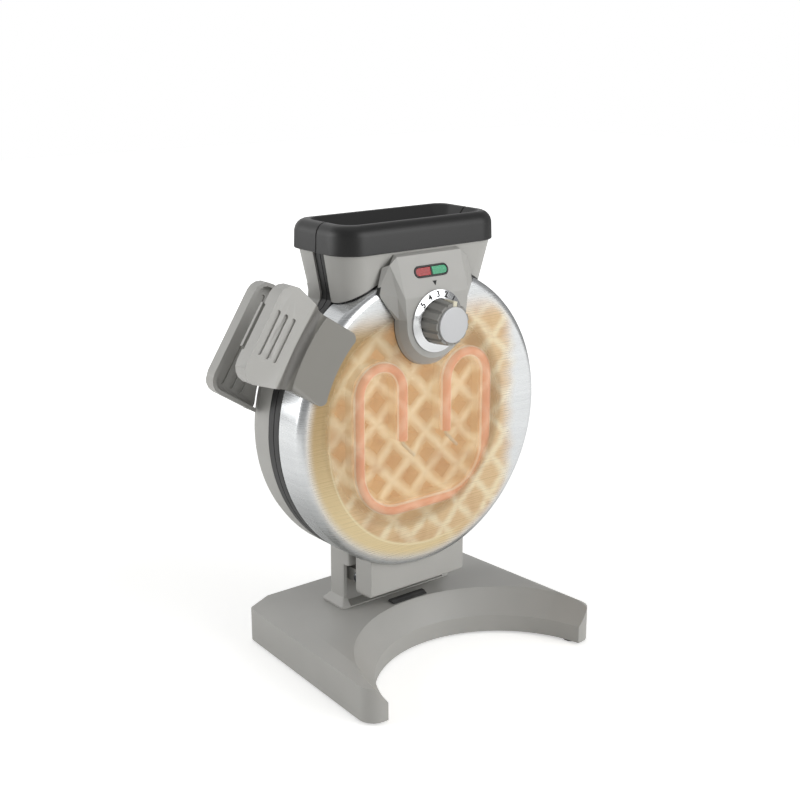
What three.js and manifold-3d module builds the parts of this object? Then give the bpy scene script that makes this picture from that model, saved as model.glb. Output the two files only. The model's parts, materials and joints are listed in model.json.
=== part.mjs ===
// Vertical waffle maker in millimetres, +Z up, front towards -Y.
// A round pair of hot plates stands upright on a base. The rear half is fixed to a pedestal.
// The front half folds forward on a pin below the plates and nests in the arch of the base.
// While it is built, the parting plane of the two halves is y = 0 and the disc axis is x = 0.
import * as THREE from 'three';
import { mergeVertices } from 'three/addons/utils/BufferGeometryUtils.js';
import { ConvexGeometry } from 'three/addons/geometries/ConvexGeometry.js';
import Module from 'manifold-3d';

const wasm = await Module();
wasm.setup();

// Driving dimensions of the discs
const DISC_RADIUS = 120;
const DISC_HEIGHT = 195;
const FRAME_DEPTH = 6.8;
const FRONT_EDGE_ROUND = 7;
const REAR_EDGE_ROUND = 11.5;
const COVER_DEPTH = 34.5;
const STEEL_WALL = 1.2;
const PLASTIC_WALL = 2.5;
const PLATE_RADIUS = 98.5;
const WAFFLE_RADIUS = 94;
const WAFFLE_HALF_DEPTH = 13;

// Driving dimensions of the hinge, base and pedestal
const PIVOT_Y = -2.6;
const PIVOT_HEIGHT = 62;
const PIN_RADIUS = 3;
const BASE_REAR_Y = 64;
const BASE_TIP_Y = -114;
const BASE_REAR_HALF_WIDTH = 107.5;
const BASE_TIP_HALF_WIDTH = 117;
const BASE_UNDERSIDE = 2.2;
const BASE_CREASE_HEIGHT = 30.3;
const BASE_TOP = 35.7;
const BASE_WALL = 3;
const FOOT_RADIUS = 8;
const PEDESTAL_HALF_WIDTH = 52.2;
const PEDESTAL_REAR_Y = 25.5;
const BLOCK_HALF_WIDTH = 48.3;
const BLOCK_FRONT_Y = -26.4;

// Driving dimensions of the spout and control panel
const SPOUT_HALF_TOP = 76.2;
const SPOUT_HALF_BOTTOM = 68.2;
const SPOUT_TOP = 331.7;
const SPOUT_FOOT = 291;
const SPOUT_FRONT_Y = -37.8;
const COLLAR_HEIGHT = 22.3;
const CHUTE_HALF_WIDTH = 50;
const PANEL_FACE_Y = -50.1;
const PANEL_KINK_HEIGHT = 299.5;
const PANEL_FACE_HALF_WIDTH = 29.7;
const DIAL_HEIGHT = 278;
const DIAL_RADIUS = 24;

// Driving dimensions of the handles, measured along and across a line from the disc axis
const HANDLE_DIRECTION = new THREE.Vector2(-0.841, 0.541).normalize();
const HANDLE_ROOT = 104;
const FRONT_HANDLE_REACH = 179.5;
const REAR_HANDLE_REACH = 160;
const HANDLE_WALL = 3;

// Clearances and overruns
const GAP = 0.3;
const HALF_GAP = 0.15;
const OVERRUN = 5;
const FAR = 400;
const MERGE = 0.0001;

// Steps of round stretches, and the angles that outlines are drawn with
const QUARTER = Math.PI / 2;
const HALF_TURN = Math.PI;
const WHOLE_TURN = 2 * Math.PI;
const FINE_STEP = Math.PI / 20;
const ROUND_STEP = Math.PI / 10;
const CORNER_STEP = Math.PI / 8;
const PLAIN_STEP = Math.PI / 4;
const EDGE_STEP = Math.PI / 6;
const CHIN_STEP = Math.PI / 12;
const FILLET_STEP = 3 * FINE_STEP;
const WHOLE_TURN_STEPS = Math.round(WHOLE_TURN / FINE_STEP);
const HIDDEN_TURN_STEPS = 32;
const PIN_SIDES = 12;
const SCREW_SIDES = 8;

// Materials by the pieces' own finishes
function finish(color, roughness, metalness) {
  return { color, roughness, metalness };
}
const GREY_MOULDING = finish('#a9a8a4', 0.55, 0);
const BLACK_MOULDING = finish('#2c2c2c', 0.45, 0);
const BRUSHED_STEEL = finish('#c8cacc', 0.32, 1);
const PALE_CAP = finish('#d2d3d5', 0.4, 0.2);
const CAST_PLATE = finish('#3a3836', 0.6, 0.3);
const HEATER_SHEATH = finish('#c98a6c', 0.5, 0.6);
const ZINC_STEEL = finish('#b4b6b8', 0.35, 1);
const BLACK_RUBBER = finish('#1d1d1d', 0.85, 0);
const RED_LENS = finish('#b01e22', 0.2, 0);
const GREEN_LENS = finish('#2fa36b', 0.2, 0);
const CERAMIC = finish('#e8e4da', 0.5, 0);

// A closed geometry as a solid with its faces turned outwards
function solid(geometry) {
  const bare = geometry.clone();
  bare.deleteAttribute('normal');
  bare.deleteAttribute('uv');
  const merged = mergeVertices(bare, MERGE);
  const points = merged.attributes.position.array;
  const corners = merged.index.array;
  const triangles = [];
  let volume = 0;
  for (let i = 0; i < corners.length; i += 3) {
    const [a, b, c] = [corners[i], corners[i + 1], corners[i + 2]];
    if (a === b || b === c || c === a) continue;
    triangles.push(a, b, c);
    const [p, q, r] = [a, b, c].map((k) => new THREE.Vector3().fromArray(points, 3 * k));
    volume += p.dot(q.cross(r));
  }
  if (volume < 0) triangles.reverse();
  return new wasm.Manifold(new wasm.Mesh({
    numProp: 3,
    vertProperties: new Float32Array(points),
    triVerts: new Uint32Array(triangles),
  }));
}

function geometryOf(body) {
  const mesh = body.getMesh();
  const geometry = new THREE.BufferGeometry();
  geometry.setAttribute('position', new THREE.BufferAttribute(mesh.vertProperties, 3));
  geometry.setIndex(new THREE.BufferAttribute(mesh.triVerts, 1));
  return geometry;
}

const assembly = new THREE.Group();

function addPiece(name, body, look) {
  const mesh = new THREE.Mesh(geometryOf(body), new THREE.MeshStandardMaterial(look));
  mesh.name = name;
  assembly.add(mesh);
  return mesh;
}

function union(bodies) {
  return bodies.reduce((whole, body) => whole.add(body));
}

// Points of an arc from one angle to another, both ends included
function arc(x, y, radius, from, to, step = ROUND_STEP) {
  const count = Math.max(1, Math.round(Math.abs(to - from) / step));
  return Array.from({ length: count + 1 }, (_, i) => {
    const angle = from + (to - from) * i / count;
    return new THREE.Vector2(x + radius * Math.cos(angle), y + radius * Math.sin(angle));
  });
}

// Outline of a rectangle with round corners
function roundedRect(halfX, halfY, radius, x = 0, y = 0, step = ROUND_STEP) {
  const [dx, dy] = [halfX - radius, halfY - radius];
  return [
    ...arc(x + dx, y + dy, radius, 0, QUARTER, step),
    ...arc(x - dx, y + dy, radius, QUARTER, HALF_TURN, step),
    ...arc(x - dx, y - dy, radius, -HALF_TURN, -QUARTER, step),
    ...arc(x + dx, y - dy, radius, -QUARTER, 0, step),
  ];
}

// An outline in x and z, extruded from a front plane to a rear plane
function slabY(points, frontY, rearY) {
  const shape = new THREE.Shape(points);
  const geometry = new THREE.ExtrudeGeometry(shape, { depth: rearY - frontY, bevelEnabled: false });
  return solid(geometry.rotateX(Math.PI / 2).translate(0, rearY, 0));
}

// An outline in y and z, extruded along x
function slabX(points, fromX, toX) {
  const shape = new THREE.Shape(points);
  const geometry = new THREE.ExtrudeGeometry(shape, { depth: toX - fromX, bevelEnabled: false });
  return solid(geometry.rotateY(Math.PI / 2).rotateX(Math.PI / 2).translate(fromX, 0, 0));
}

// An outline in x and y, extruded upwards
function slabZ(points, bottom, top) {
  const shape = new THREE.Shape(points);
  const geometry = new THREE.ExtrudeGeometry(shape, { depth: top - bottom, bevelEnabled: false });
  return solid(geometry.translate(0, 0, bottom));
}

function box(minX, maxX, minY, maxY, minZ, maxZ) {
  const geometry = new THREE.BoxGeometry(maxX - minX, maxY - minY, maxZ - minZ);
  return solid(geometry.translate((minX + maxX) / 2, (minY + maxY) / 2, (minZ + maxZ) / 2));
}

// A profile of radius and depth turned about the Y axis through x and z
function turnedY(profile, x = 0, z = DISC_HEIGHT, steps = WHOLE_TURN_STEPS) {
  return solid(new THREE.LatheGeometry(profile, steps).translate(x, 0, z));
}

// A profile of radius and height turned about the Z axis through x and y
function turnedZ(profile, x, y, steps = PIN_SIDES) {
  return solid(new THREE.LatheGeometry(profile, steps).rotateX(Math.PI / 2).translate(x, y, 0));
}

// A profile of radius and place along x, turned about an axis parallel to X
function turnedX(profile, y, z, steps = PIN_SIDES) {
  return solid(new THREE.LatheGeometry(profile, steps).rotateZ(-Math.PI / 2).translate(0, y, z));
}

function vec(...pairs) {
  return pairs.map(([x, y]) => new THREE.Vector2(x, y));
}

// A skin over rings that have the same number of points, each ring seen whole from its middle
function loft(rings) {
  const count = rings[0].length;
  const middles = [rings[0], rings[rings.length - 1]].map((ring) => (
    ring.reduce((sum, p) => sum.add(p), new THREE.Vector3()).divideScalar(count)
  ));
  const geometry = new THREE.BufferGeometry().setFromPoints([...rings.flat(), ...middles]);
  const index = [];
  for (let ring = 0; ring + 1 < rings.length; ring += 1) {
    for (let i = 0; i < count; i += 1) {
      const a = ring * count + i;
      const b = ring * count + (i + 1) % count;
      index.push(a, b, b + count, a, b + count, a + count);
    }
  }
  const last = (rings.length - 1) * count;
  const middle = rings.length * count;
  for (let i = 0; i < count; i += 1) {
    const next = (i + 1) % count;
    index.push(middle, next, i);
    index.push(middle + 1, last + i, last + next);
  }
  geometry.setIndex(index);
  return solid(geometry);
}

function ringAt(points, z) {
  return points.map((p) => new THREE.Vector3(p.x, p.y, z));
}

function mirrorY(body) {
  const source = body.getMesh();
  const points = Float32Array.from(source.vertProperties);
  for (let i = 1; i < points.length; i += 3) points[i] = -points[i];
  const geometry = new THREE.BufferGeometry();
  geometry.setAttribute('position', new THREE.BufferAttribute(points, 3));
  geometry.setIndex(new THREE.BufferAttribute(Uint32Array.from(source.triVerts), 1));
  return solid(geometry);
}

// Base: a low moulded plinth with two legs round an arch that takes the folded front half
const ARCH_Y = PIVOT_Y - (DISC_HEIGHT - PIVOT_HEIGHT);
const ARCH_LOW_INSET = 17.5;
const ARCH_TOP_INSET = 1.5;
const ARCH_LOW_RADIUS = DISC_RADIUS - ARCH_LOW_INSET;
const ARCH_TOP_RADIUS = DISC_RADIUS - ARCH_TOP_INSET;
const ARCH_STEP_HEIGHT = 16.5;
const ARCH_LIP = 2;
const TIP_CORNER = 13;
const REAR_CORNER = 5;
const BEVEL_REAR_WIDTH = 18.6;
const BEVEL_TIP_WIDTH = 10.4;

function basePlan(inset) {
  const tip = BASE_TIP_HALF_WIDTH - inset;
  const rear = BASE_REAR_HALF_WIDTH - inset;
  const frontY = BASE_TIP_Y + inset;
  const rearY = BASE_REAR_Y - inset;
  const tipRound = TIP_CORNER - inset;
  const rearRound = REAR_CORNER;
  return [
    ...arc(rear - rearRound, rearY - rearRound, rearRound, 0, QUARTER),
    ...arc(-rear + rearRound, rearY - rearRound, rearRound, QUARTER, HALF_TURN),
    ...arc(-tip + tipRound, frontY + tipRound, tipRound, -HALF_TURN, -QUARTER),
    ...arc(tip - tipRound, frontY + tipRound, tipRound, -QUARTER, 0),
  ];
}

function baseTopPlan(inset) {
  const rear = BASE_REAR_HALF_WIDTH - BEVEL_REAR_WIDTH - inset;
  const tip = BASE_TIP_HALF_WIDTH - BEVEL_TIP_WIDTH - inset;
  const rearY = BASE_REAR_Y - inset;
  const frontY = BASE_TIP_Y + TIP_CORNER;
  return vec([rear, rearY], [-rear, rearY], [-tip, frontY], [tip, frontY]);
}

function baseBody(inset, bottom) {
  return solid(new ConvexGeometry([
    ...ringAt(basePlan(inset), bottom),
    ...ringAt(basePlan(inset), BASE_CREASE_HEIGHT - inset),
    ...ringAt(baseTopPlan(inset), BASE_TOP - inset),
  ]));
}

function archCutter(offset) {
  const low = ARCH_LOW_RADIUS + offset;
  const top = ARCH_TOP_RADIUS + offset;
  const above = BASE_TOP + OVERRUN;
  const profile = vec([0, -OVERRUN], [low, -OVERRUN], [low, ARCH_STEP_HEIGHT],
    [top - ARCH_LIP, BASE_TOP - ARCH_LIP], [top, BASE_TOP], [top, above], [0, above]);
  return turnedZ(profile, 0, ARCH_Y, WHOLE_TURN_STEPS);
}

const BOSS_RADIUS = 5;
const SCREW_RADIUS = 1.7;
const COVER_THICKNESS = 2;
const REAR_FOOT_X = 88;
const REAR_FOOT_Y = 46;
const TIP_FOOT_X = 106;
const TIP_FOOT_Y = -100;
const FOOT_PLACES = vec([-REAR_FOOT_X, REAR_FOOT_Y], [REAR_FOOT_X, REAR_FOOT_Y], [-TIP_FOOT_X, TIP_FOOT_Y],
  [TIP_FOOT_X, TIP_FOOT_Y]);
const PEDESTAL_SCREW_X = 40;
const PEDESTAL_SCREW_Y = 19;
const GLAND_HEIGHT = 16;
const GLAND_BORE = 4;
const GLAND_NECK = 6;
const GLAND_FLANGE = 8.5;
const GLAND_FLANGE_DEPTH = 2.5;
const WIRE_DUCT_HALF_WIDTH = 18;
const WIRE_DUCT_FRONT_Y = 15.5;
const WIRE_DUCT_REAR_Y = 22.5;

function column(radius, bottom, top, x, y, steps = PIN_SIDES) {
  return turnedZ(vec([0, bottom], [radius, bottom], [radius, top], [0, top]), x, y, steps);
}

const baseInside = baseBody(BASE_WALL, -OVERRUN).subtract(archCutter(BASE_WALL));
let baseShell = baseBody(0, BASE_UNDERSIDE).subtract(archCutter(0)).subtract(baseInside);
const bossFoot = BASE_UNDERSIDE + COVER_THICKNESS + GAP;
for (const place of FOOT_PLACES) {
  const boss = column(BOSS_RADIUS, bossFoot, BASE_TOP, place.x, place.y)
    .intersect(baseBody(0, BASE_UNDERSIDE))
    .subtract(archCutter(0));
  baseShell = baseShell.add(boss);
  const hole = column(SCREW_RADIUS + GAP, -OVERRUN, BASE_CREASE_HEIGHT - BASE_WALL - OVERRUN,
    place.x, place.y, SCREW_SIDES);
  baseShell = baseShell.subtract(hole);
}
for (const x of [-PEDESTAL_SCREW_X, PEDESTAL_SCREW_X]) {
  const hole = column(SCREW_RADIUS + GAP, 0, BASE_TOP + OVERRUN, x, PEDESTAL_SCREW_Y, SCREW_SIDES);
  baseShell = baseShell.subtract(hole);
}
const glandHole = turnedY(vec([0, 0], [GLAND_NECK + GAP, 0], [GLAND_NECK + GAP, FAR], [0, FAR]), 0,
  GLAND_HEIGHT, PIN_SIDES);
baseShell = baseShell.subtract(glandHole).subtract(box(-WIRE_DUCT_HALF_WIDTH, WIRE_DUCT_HALF_WIDTH,
  WIRE_DUCT_FRONT_Y, WIRE_DUCT_REAR_Y, 0, BASE_TOP + OVERRUN));

addPiece('base_shell', baseShell, GREY_MOULDING);

// Base cover: a flat plate that closes the underside inside the plinth's rim
const coverInset = BASE_WALL + GAP;
let baseCover = slabZ(basePlan(coverInset), BASE_UNDERSIDE, BASE_UNDERSIDE + COVER_THICKNESS)
  .subtract(archCutter(coverInset));
for (const place of FOOT_PLACES) {
  baseCover = baseCover.subtract(column(SCREW_RADIUS + GAP, 0, BASE_TOP, place.x, place.y, SCREW_SIDES));
}
addPiece('base_cover', baseCover, GREY_MOULDING);

// A pan-headed screw upright under or over its seat, its head towards the given end
const HEAD_RADIUS = 3.2;
const HEAD_DEPTH = 1.5;
const FOOT_ROUND = 0.6;

function uprightScrew(x, y, seat, tip) {
  const head = seat + Math.sign(seat - tip) * HEAD_DEPTH;
  return turnedZ(vec([0, head], [HEAD_RADIUS, head], [HEAD_RADIUS, seat], [SCREW_RADIUS, seat],
    [SCREW_RADIUS, tip], [0, tip]), x, y, SCREW_SIDES);
}

const FOOT_SCREW_TIP = 20;
const FOOT_NAMES = ['rear_left', 'rear_right', 'front_left', 'front_right'];
FOOT_PLACES.forEach((place, i) => {
  const hole = HEAD_RADIUS + GAP;
  const foot = turnedZ(vec([hole, 0], [FOOT_RADIUS - FOOT_ROUND, 0], [FOOT_RADIUS, FOOT_ROUND],
    [FOOT_RADIUS, BASE_UNDERSIDE - GAP], [hole, BASE_UNDERSIDE - GAP], [hole, 0]), place.x, place.y);
  addPiece(`foot_${FOOT_NAMES[i]}`, foot, BLACK_RUBBER);
  const screw = uprightScrew(place.x, place.y, BASE_UNDERSIDE - GAP, FOOT_SCREW_TIP);
  addPiece(`foot_screw_${FOOT_NAMES[i]}`, screw, ZINC_STEEL);
});

// Pedestal: a hollow moulded tower that carries the rear half and the two hinge ears
const PEDESTAL_SEAT = BASE_TOP + GAP;
const NOTCH_HEIGHT = 73.7;
const CHEEK_FRONT_Y = 5.7;
const NOSE_FRONT_Y = -1.2;
const PEDESTAL_CORNER = 3;
const SKIRT_SPREAD = 4.8;
const SKIRT_RIM = 1.8;
const SKIRT_HEIGHT = 7.6;
const SKIRT_LIP = 1;
const CHEEK_WALL = 3.2;
const POCKET_REAR_Y = 13;
const EAR_INNER = 36;
const EAR_OUTER = 43;
const EAR_RADIUS = 5.7;
const DISC_SEAT_RADIUS = (DISC_RADIUS + GAP) / Math.cos(Math.PI / WHOLE_TURN_STEPS);
const TOWER_OVERLAP = 20;
const towerTop = DISC_HEIGHT - Math.sqrt(DISC_RADIUS ** 2 - PEDESTAL_HALF_WIDTH ** 2) + TOWER_OVERLAP;

function pedestalPlan(spread, frontY) {
  const halfY = (PEDESTAL_REAR_Y - frontY) / 2 + spread;
  return roundedRect(PEDESTAL_HALF_WIDTH + spread, halfY, PEDESTAL_CORNER, 0,
    (PEDESTAL_REAR_Y + frontY) / 2, PLAIN_STEP);
}

const discSeat = turnedY(vec([0, -FAR], [DISC_SEAT_RADIUS, -FAR], [DISC_SEAT_RADIUS, FAR], [0, FAR]));
const pocketHalfWidth = PEDESTAL_HALF_WIDTH - CHEEK_WALL;
const skirtTop = PEDESTAL_SEAT + SKIRT_HEIGHT;
const skirt = solid(new ConvexGeometry([
  ...ringAt(pedestalPlan(SKIRT_SPREAD, CHEEK_FRONT_Y), PEDESTAL_SEAT),
  ...ringAt(pedestalPlan(SKIRT_SPREAD, CHEEK_FRONT_Y), PEDESTAL_SEAT + SKIRT_RIM),
  ...ringAt(pedestalPlan(0, CHEEK_FRONT_Y), skirtTop),
]));
let pedestal = union([
  slabZ(pedestalPlan(0, CHEEK_FRONT_Y), PEDESTAL_SEAT, towerTop),
  slabZ(pedestalPlan(0, NOSE_FRONT_Y), NOTCH_HEIGHT, towerTop),
  skirt,
]);
pedestal = pedestal.subtract(box(-pocketHalfWidth, pocketHalfWidth, -FAR, POCKET_REAR_Y,
  PEDESTAL_SEAT + SKIRT_LIP, NOTCH_HEIGHT));
const ear = slabX([
  ...arc(PIVOT_Y, PIVOT_HEIGHT, EAR_RADIUS, QUARTER, QUARTER + HALF_TURN, ROUND_STEP),
  new THREE.Vector2(POCKET_REAR_Y + OVERRUN, PIVOT_HEIGHT - EAR_RADIUS),
  new THREE.Vector2(POCKET_REAR_Y + OVERRUN, PIVOT_HEIGHT + EAR_RADIUS),
], EAR_INNER, EAR_OUTER);
const duct = box(-WIRE_DUCT_HALF_WIDTH, WIRE_DUCT_HALF_WIDTH, WIRE_DUCT_FRONT_Y, WIRE_DUCT_REAR_Y, 0, FAR);
const pinBore = turnedX(vec([0, -FAR], [PIN_RADIUS + GAP, -FAR], [PIN_RADIUS + GAP, FAR], [0, FAR]),
  PIVOT_Y, PIVOT_HEIGHT);
pedestal = union([pedestal, ear, ear.translate(-EAR_INNER - EAR_OUTER, 0, 0)])
  .subtract(duct).subtract(discSeat).subtract(pinBore);

// Screws that hold the pedestal to the base and the rear half to the pedestal
const PEDESTAL_SCREW_TIP = 50;
const SADDLE_SCREW_X = 26;
const SADDLE_SCREW_Y = 19;
const SADDLE_SCREW_REACH = 17;

// Height at which a screw head sits inside the rim of a cover with the given wall
function saddleSeat(wall) {
  const inner = (DISC_RADIUS - wall) * Math.cos(Math.PI / HIDDEN_TURN_STEPS);
  const edge = SADDLE_SCREW_X + HEAD_RADIUS;
  return DISC_HEIGHT - Math.sqrt(inner ** 2 - edge ** 2) + GAP;
}

const pedestalSeat = saddleSeat(PLASTIC_WALL);
for (const side of [-1, 1]) {
  const name = side < 0 ? 'left' : 'right';
  const [baseX, coverX] = [side * PEDESTAL_SCREW_X, side * SADDLE_SCREW_X];
  const baseScrew = uprightScrew(baseX, PEDESTAL_SCREW_Y, BASE_TOP - BASE_WALL - GAP, PEDESTAL_SCREW_TIP);
  addPiece(`pedestal_screw_${name}`, baseScrew, ZINC_STEEL);
  const coverScrew = uprightScrew(coverX, SADDLE_SCREW_Y, pedestalSeat, pedestalSeat - SADDLE_SCREW_REACH);
  addPiece(`rear_cover_screw_${name}`, coverScrew, ZINC_STEEL);
  const bore = SCREW_RADIUS + GAP;
  const coverHoleFoot = pedestalSeat - SADDLE_SCREW_REACH - GAP;
  const baseHole = column(bore, 0, PEDESTAL_SCREW_TIP + GAP, baseX, PEDESTAL_SCREW_Y, SCREW_SIDES);
  const coverHole = column(bore, coverHoleFoot, FAR, coverX, SADDLE_SCREW_Y, SCREW_SIDES);
  pedestal = pedestal.subtract(baseHole).subtract(coverHole);
}
addPiece('pedestal', pedestal, GREY_MOULDING);

// Hinge pin through ears and barrel, with a shouldered screw in each end
const END_SCREW_HEAD_RADIUS = 5;
const END_SCREW_FACE_RADIUS = 3.5;
const END_SCREW_HEAD_DEPTH = 2.6;
const END_SCREW_DEPTH = 8;
const END_SCREW_RADIUS = 1.4;
const endBoreDepth = END_SCREW_DEPTH + GAP;
const endBoreRadius = END_SCREW_RADIUS + GAP;
const hingePin = turnedX(vec([0, -EAR_OUTER + endBoreDepth], [endBoreRadius, -EAR_OUTER + endBoreDepth],
  [endBoreRadius, -EAR_OUTER], [PIN_RADIUS, -EAR_OUTER], [PIN_RADIUS, EAR_OUTER], [endBoreRadius, EAR_OUTER],
  [endBoreRadius, EAR_OUTER - endBoreDepth], [0, EAR_OUTER - endBoreDepth]), PIVOT_Y, PIVOT_HEIGHT);
addPiece('hinge_pin', hingePin, ZINC_STEEL);
for (const side of [-1, 1]) {
  const seat = EAR_OUTER + GAP;
  const face = seat + END_SCREW_HEAD_DEPTH;
  const screw = turnedX(vec([0, side * (EAR_OUTER - END_SCREW_DEPTH)],
    [END_SCREW_RADIUS, side * (EAR_OUTER - END_SCREW_DEPTH)], [END_SCREW_RADIUS, side * seat],
    [END_SCREW_HEAD_RADIUS, side * seat], [END_SCREW_HEAD_RADIUS, side * (seat + END_SCREW_HEAD_DEPTH / 2)],
    [END_SCREW_FACE_RADIUS, side * face], [0, side * face]), PIVOT_Y, PIVOT_HEIGHT);
  addPiece(`hinge_screw_${side < 0 ? 'left' : 'right'}`, screw, ZINC_STEEL);
}

// Hinge block: the foot of the front half, with a barrel between the ears and a cheek over each screw
const BLOCK_REAR_Y = -5.8;
const BLOCK_BOTTOM = 50.2;
const BLOCK_FRONT_RISE = 2.6;
const BLOCK_TOE = 3;
const BLOCK_CORNER = 5;
const BLOCK_CHEEK = 1.6;
const BARREL_HALF_LENGTH = EAR_INNER - 2 * GAP;
const EAR_SWING = 1;
const BLOCK_WALL = 3;
const BLOCK_HOLLOW_HALF = 18;
const blockTop = towerTop;
const toeBottom = BLOCK_BOTTOM + BLOCK_FRONT_RISE;
const blockSide = [
  ...vec([BLOCK_REAR_Y, blockTop], [BLOCK_REAR_Y, BLOCK_BOTTOM]),
  ...arc(BLOCK_FRONT_Y + BLOCK_TOE, toeBottom + BLOCK_TOE, BLOCK_TOE, -QUARTER, -HALF_TURN, EDGE_STEP),
  ...vec([BLOCK_FRONT_Y, blockTop]),
];
const cornerX = BLOCK_HALF_WIDTH - BLOCK_CORNER;
const cornerZ = BLOCK_BOTTOM + BLOCK_CORNER;
const blockFace = [
  ...arc(cornerX, cornerZ, BLOCK_CORNER, -QUARTER, 0, CORNER_STEP),
  ...vec([BLOCK_HALF_WIDTH, blockTop], [-BLOCK_HALF_WIDTH, blockTop]),
  ...arc(-cornerX, cornerZ, BLOCK_CORNER, -HALF_TURN, -QUARTER, CORNER_STEP),
];
let hingeBlock = slabX(blockSide, -BLOCK_HALF_WIDTH, BLOCK_HALF_WIDTH)
  .intersect(slabY(blockFace, -FAR, FAR)).subtract(discSeat);
for (const side of [-1, 1]) {
  const ends = [side * BARREL_HALF_LENGTH, side * (BLOCK_HALF_WIDTH - BLOCK_CHEEK)];
  const earRoom = box(Math.min(...ends), Math.max(...ends), PIVOT_Y - EAR_RADIUS - EAR_SWING, FAR, 0,
    PIVOT_HEIGHT + EAR_RADIUS + EAR_SWING);
  hingeBlock = hingeBlock.subtract(earRoom);
}
const barrel = turnedX(vec([0, -BARREL_HALF_LENGTH], [EAR_RADIUS, -BARREL_HALF_LENGTH],
  [EAR_RADIUS, BARREL_HALF_LENGTH], [0, BARREL_HALF_LENGTH]), PIVOT_Y, PIVOT_HEIGHT);
const blockHollow = box(-BLOCK_HOLLOW_HALF, BLOCK_HOLLOW_HALF, BLOCK_FRONT_Y + BLOCK_WALL,
  PIVOT_Y - EAR_RADIUS - BLOCK_WALL, PIVOT_HEIGHT, FAR);
hingeBlock = hingeBlock.add(barrel).subtract(pinBore).subtract(blockHollow);
const BLOCK_SCREW_Y = -16;
const blockSeat = saddleSeat(STEEL_WALL);
for (const side of [-1, 1]) {
  const x = side * SADDLE_SCREW_X;
  const screw = uprightScrew(x, BLOCK_SCREW_Y, blockSeat, blockSeat - SADDLE_SCREW_REACH);
  addPiece(`front_cover_screw_${side < 0 ? 'left' : 'right'}`, screw, ZINC_STEEL);
  hingeBlock = hingeBlock.subtract(column(SCREW_RADIUS + GAP, blockSeat - SADDLE_SCREW_REACH - GAP, FAR, x,
    BLOCK_SCREW_Y, SCREW_SIDES));
}
addPiece('hinge_block', hingeBlock, GREY_MOULDING);

// Stop pad: a stepped rubber bumper at the edge of the arch, where the block's front face comes to rest
const PAD_HALF_LENGTH = 17.8;
const PAD_FRONT_Y = -17;
const PAD_REAR_Y = -8.6;
const PAD_HEIGHT = 2.3;
const PAD_SIDE_SHARES = [[0, 0], [0.14, 0.45], [0.26, 0.5], [0.42, 1], [0.88, 1], [1, 0]];
const padSide = PAD_SIDE_SHARES.map(([depth, height]) => new THREE.Vector2(
  THREE.MathUtils.lerp(PAD_FRONT_Y, PAD_REAR_Y, depth),
  PEDESTAL_SEAT + height * PAD_HEIGHT,
));
addPiece('stop_pad', slabX(padSide, -PAD_HALF_LENGTH, PAD_HALF_LENGTH), BLACK_RUBBER);

// Cord gland: a flanged rubber bush in the rear wall of the base
const glandInner = BASE_REAR_Y - BASE_WALL - GAP;
const glandOuter = BASE_REAR_Y + GAP;
const glandStart = glandInner - GLAND_FLANGE_DEPTH;
const glandEnd = glandOuter + GLAND_FLANGE_DEPTH;
const gland = turnedY(vec([GLAND_BORE, glandStart], [GLAND_FLANGE, glandStart], [GLAND_FLANGE, glandInner],
  [GLAND_NECK, glandInner], [GLAND_NECK, glandOuter], [GLAND_FLANGE, glandOuter],
  [GLAND_FLANGE - GLAND_FLANGE_DEPTH, glandEnd], [GLAND_BORE, glandEnd], [GLAND_BORE, glandStart]), 0,
GLAND_HEIGHT, PIN_SIDES);
addPiece('cord_gland', gland, BLACK_RUBBER);

// Outline of a disc with the flared neck of the spout, blended by a fillet on each side
const NECK_FILLET = 10;

function neckedDisc(radius, inset, fillet) {
  const foot = new THREE.Vector2(SPOUT_HALF_BOTTOM - inset, SPOUT_FOOT);
  const head = new THREE.Vector2(SPOUT_HALF_TOP - inset, SPOUT_TOP);
  const along = head.clone().sub(foot).normalize();
  const across = new THREE.Vector2(along.y, -along.x);
  const line = foot.clone().addScaledVector(across, fillet);
  line.y -= DISC_HEIGHT;
  const half = line.dot(along);
  const lift = -half + Math.sqrt(half ** 2 - line.lengthSq() + (radius + fillet) ** 2);
  const middle = line.addScaledVector(along, lift);
  const angle = middle.angle();
  const start = Math.atan2(-across.y, -across.x);
  const side = arc(middle.x, middle.y + DISC_HEIGHT, fillet, start, angle + HALF_TURN, FILLET_STEP);
  return [
    head,
    ...side,
    ...arc(0, DISC_HEIGHT, radius, angle, -HALF_TURN - angle, FINE_STEP).slice(1, -1),
    ...side.map((p) => new THREE.Vector2(-p.x, p.y)).reverse(),
    new THREE.Vector2(-head.x, head.y),
  ];
}

// Places round the rim where each grid plate is screwed to its frame
const LUG_ORBIT = 104;
const LUG_HALF_WIDTH = 6;
const LUG_DEPTH = 3;
const LUG_COUNT = 3;
const PLATE_SCREW_TIP = 2;
const DISC_MIDDLE = new THREE.Vector2(0, DISC_HEIGHT);
const LUG_PLACES = arc(0, DISC_HEIGHT, LUG_ORBIT, -QUARTER, WHOLE_TURN - QUARTER, WHOLE_TURN / LUG_COUNT)
  .slice(0, -1);

// A screw along Y from a head towards the cover to a tip towards the parting plane
function levelScrew(x, z, seat, tip) {
  const head = seat + Math.sign(seat - tip) * HEAD_DEPTH;
  return turnedY(vec([0, head], [HEAD_RADIUS, head], [HEAD_RADIUS, seat], [SCREW_RADIUS, seat],
    [SCREW_RADIUS, tip], [0, tip]), x, z, SCREW_SIDES);
}

function levelHole(x, z, radius, fromY, toY, steps = SCREW_SIDES) {
  return turnedY(vec([0, fromY], [radius, fromY], [radius, toY], [0, toY]), x, z, steps);
}

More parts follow.
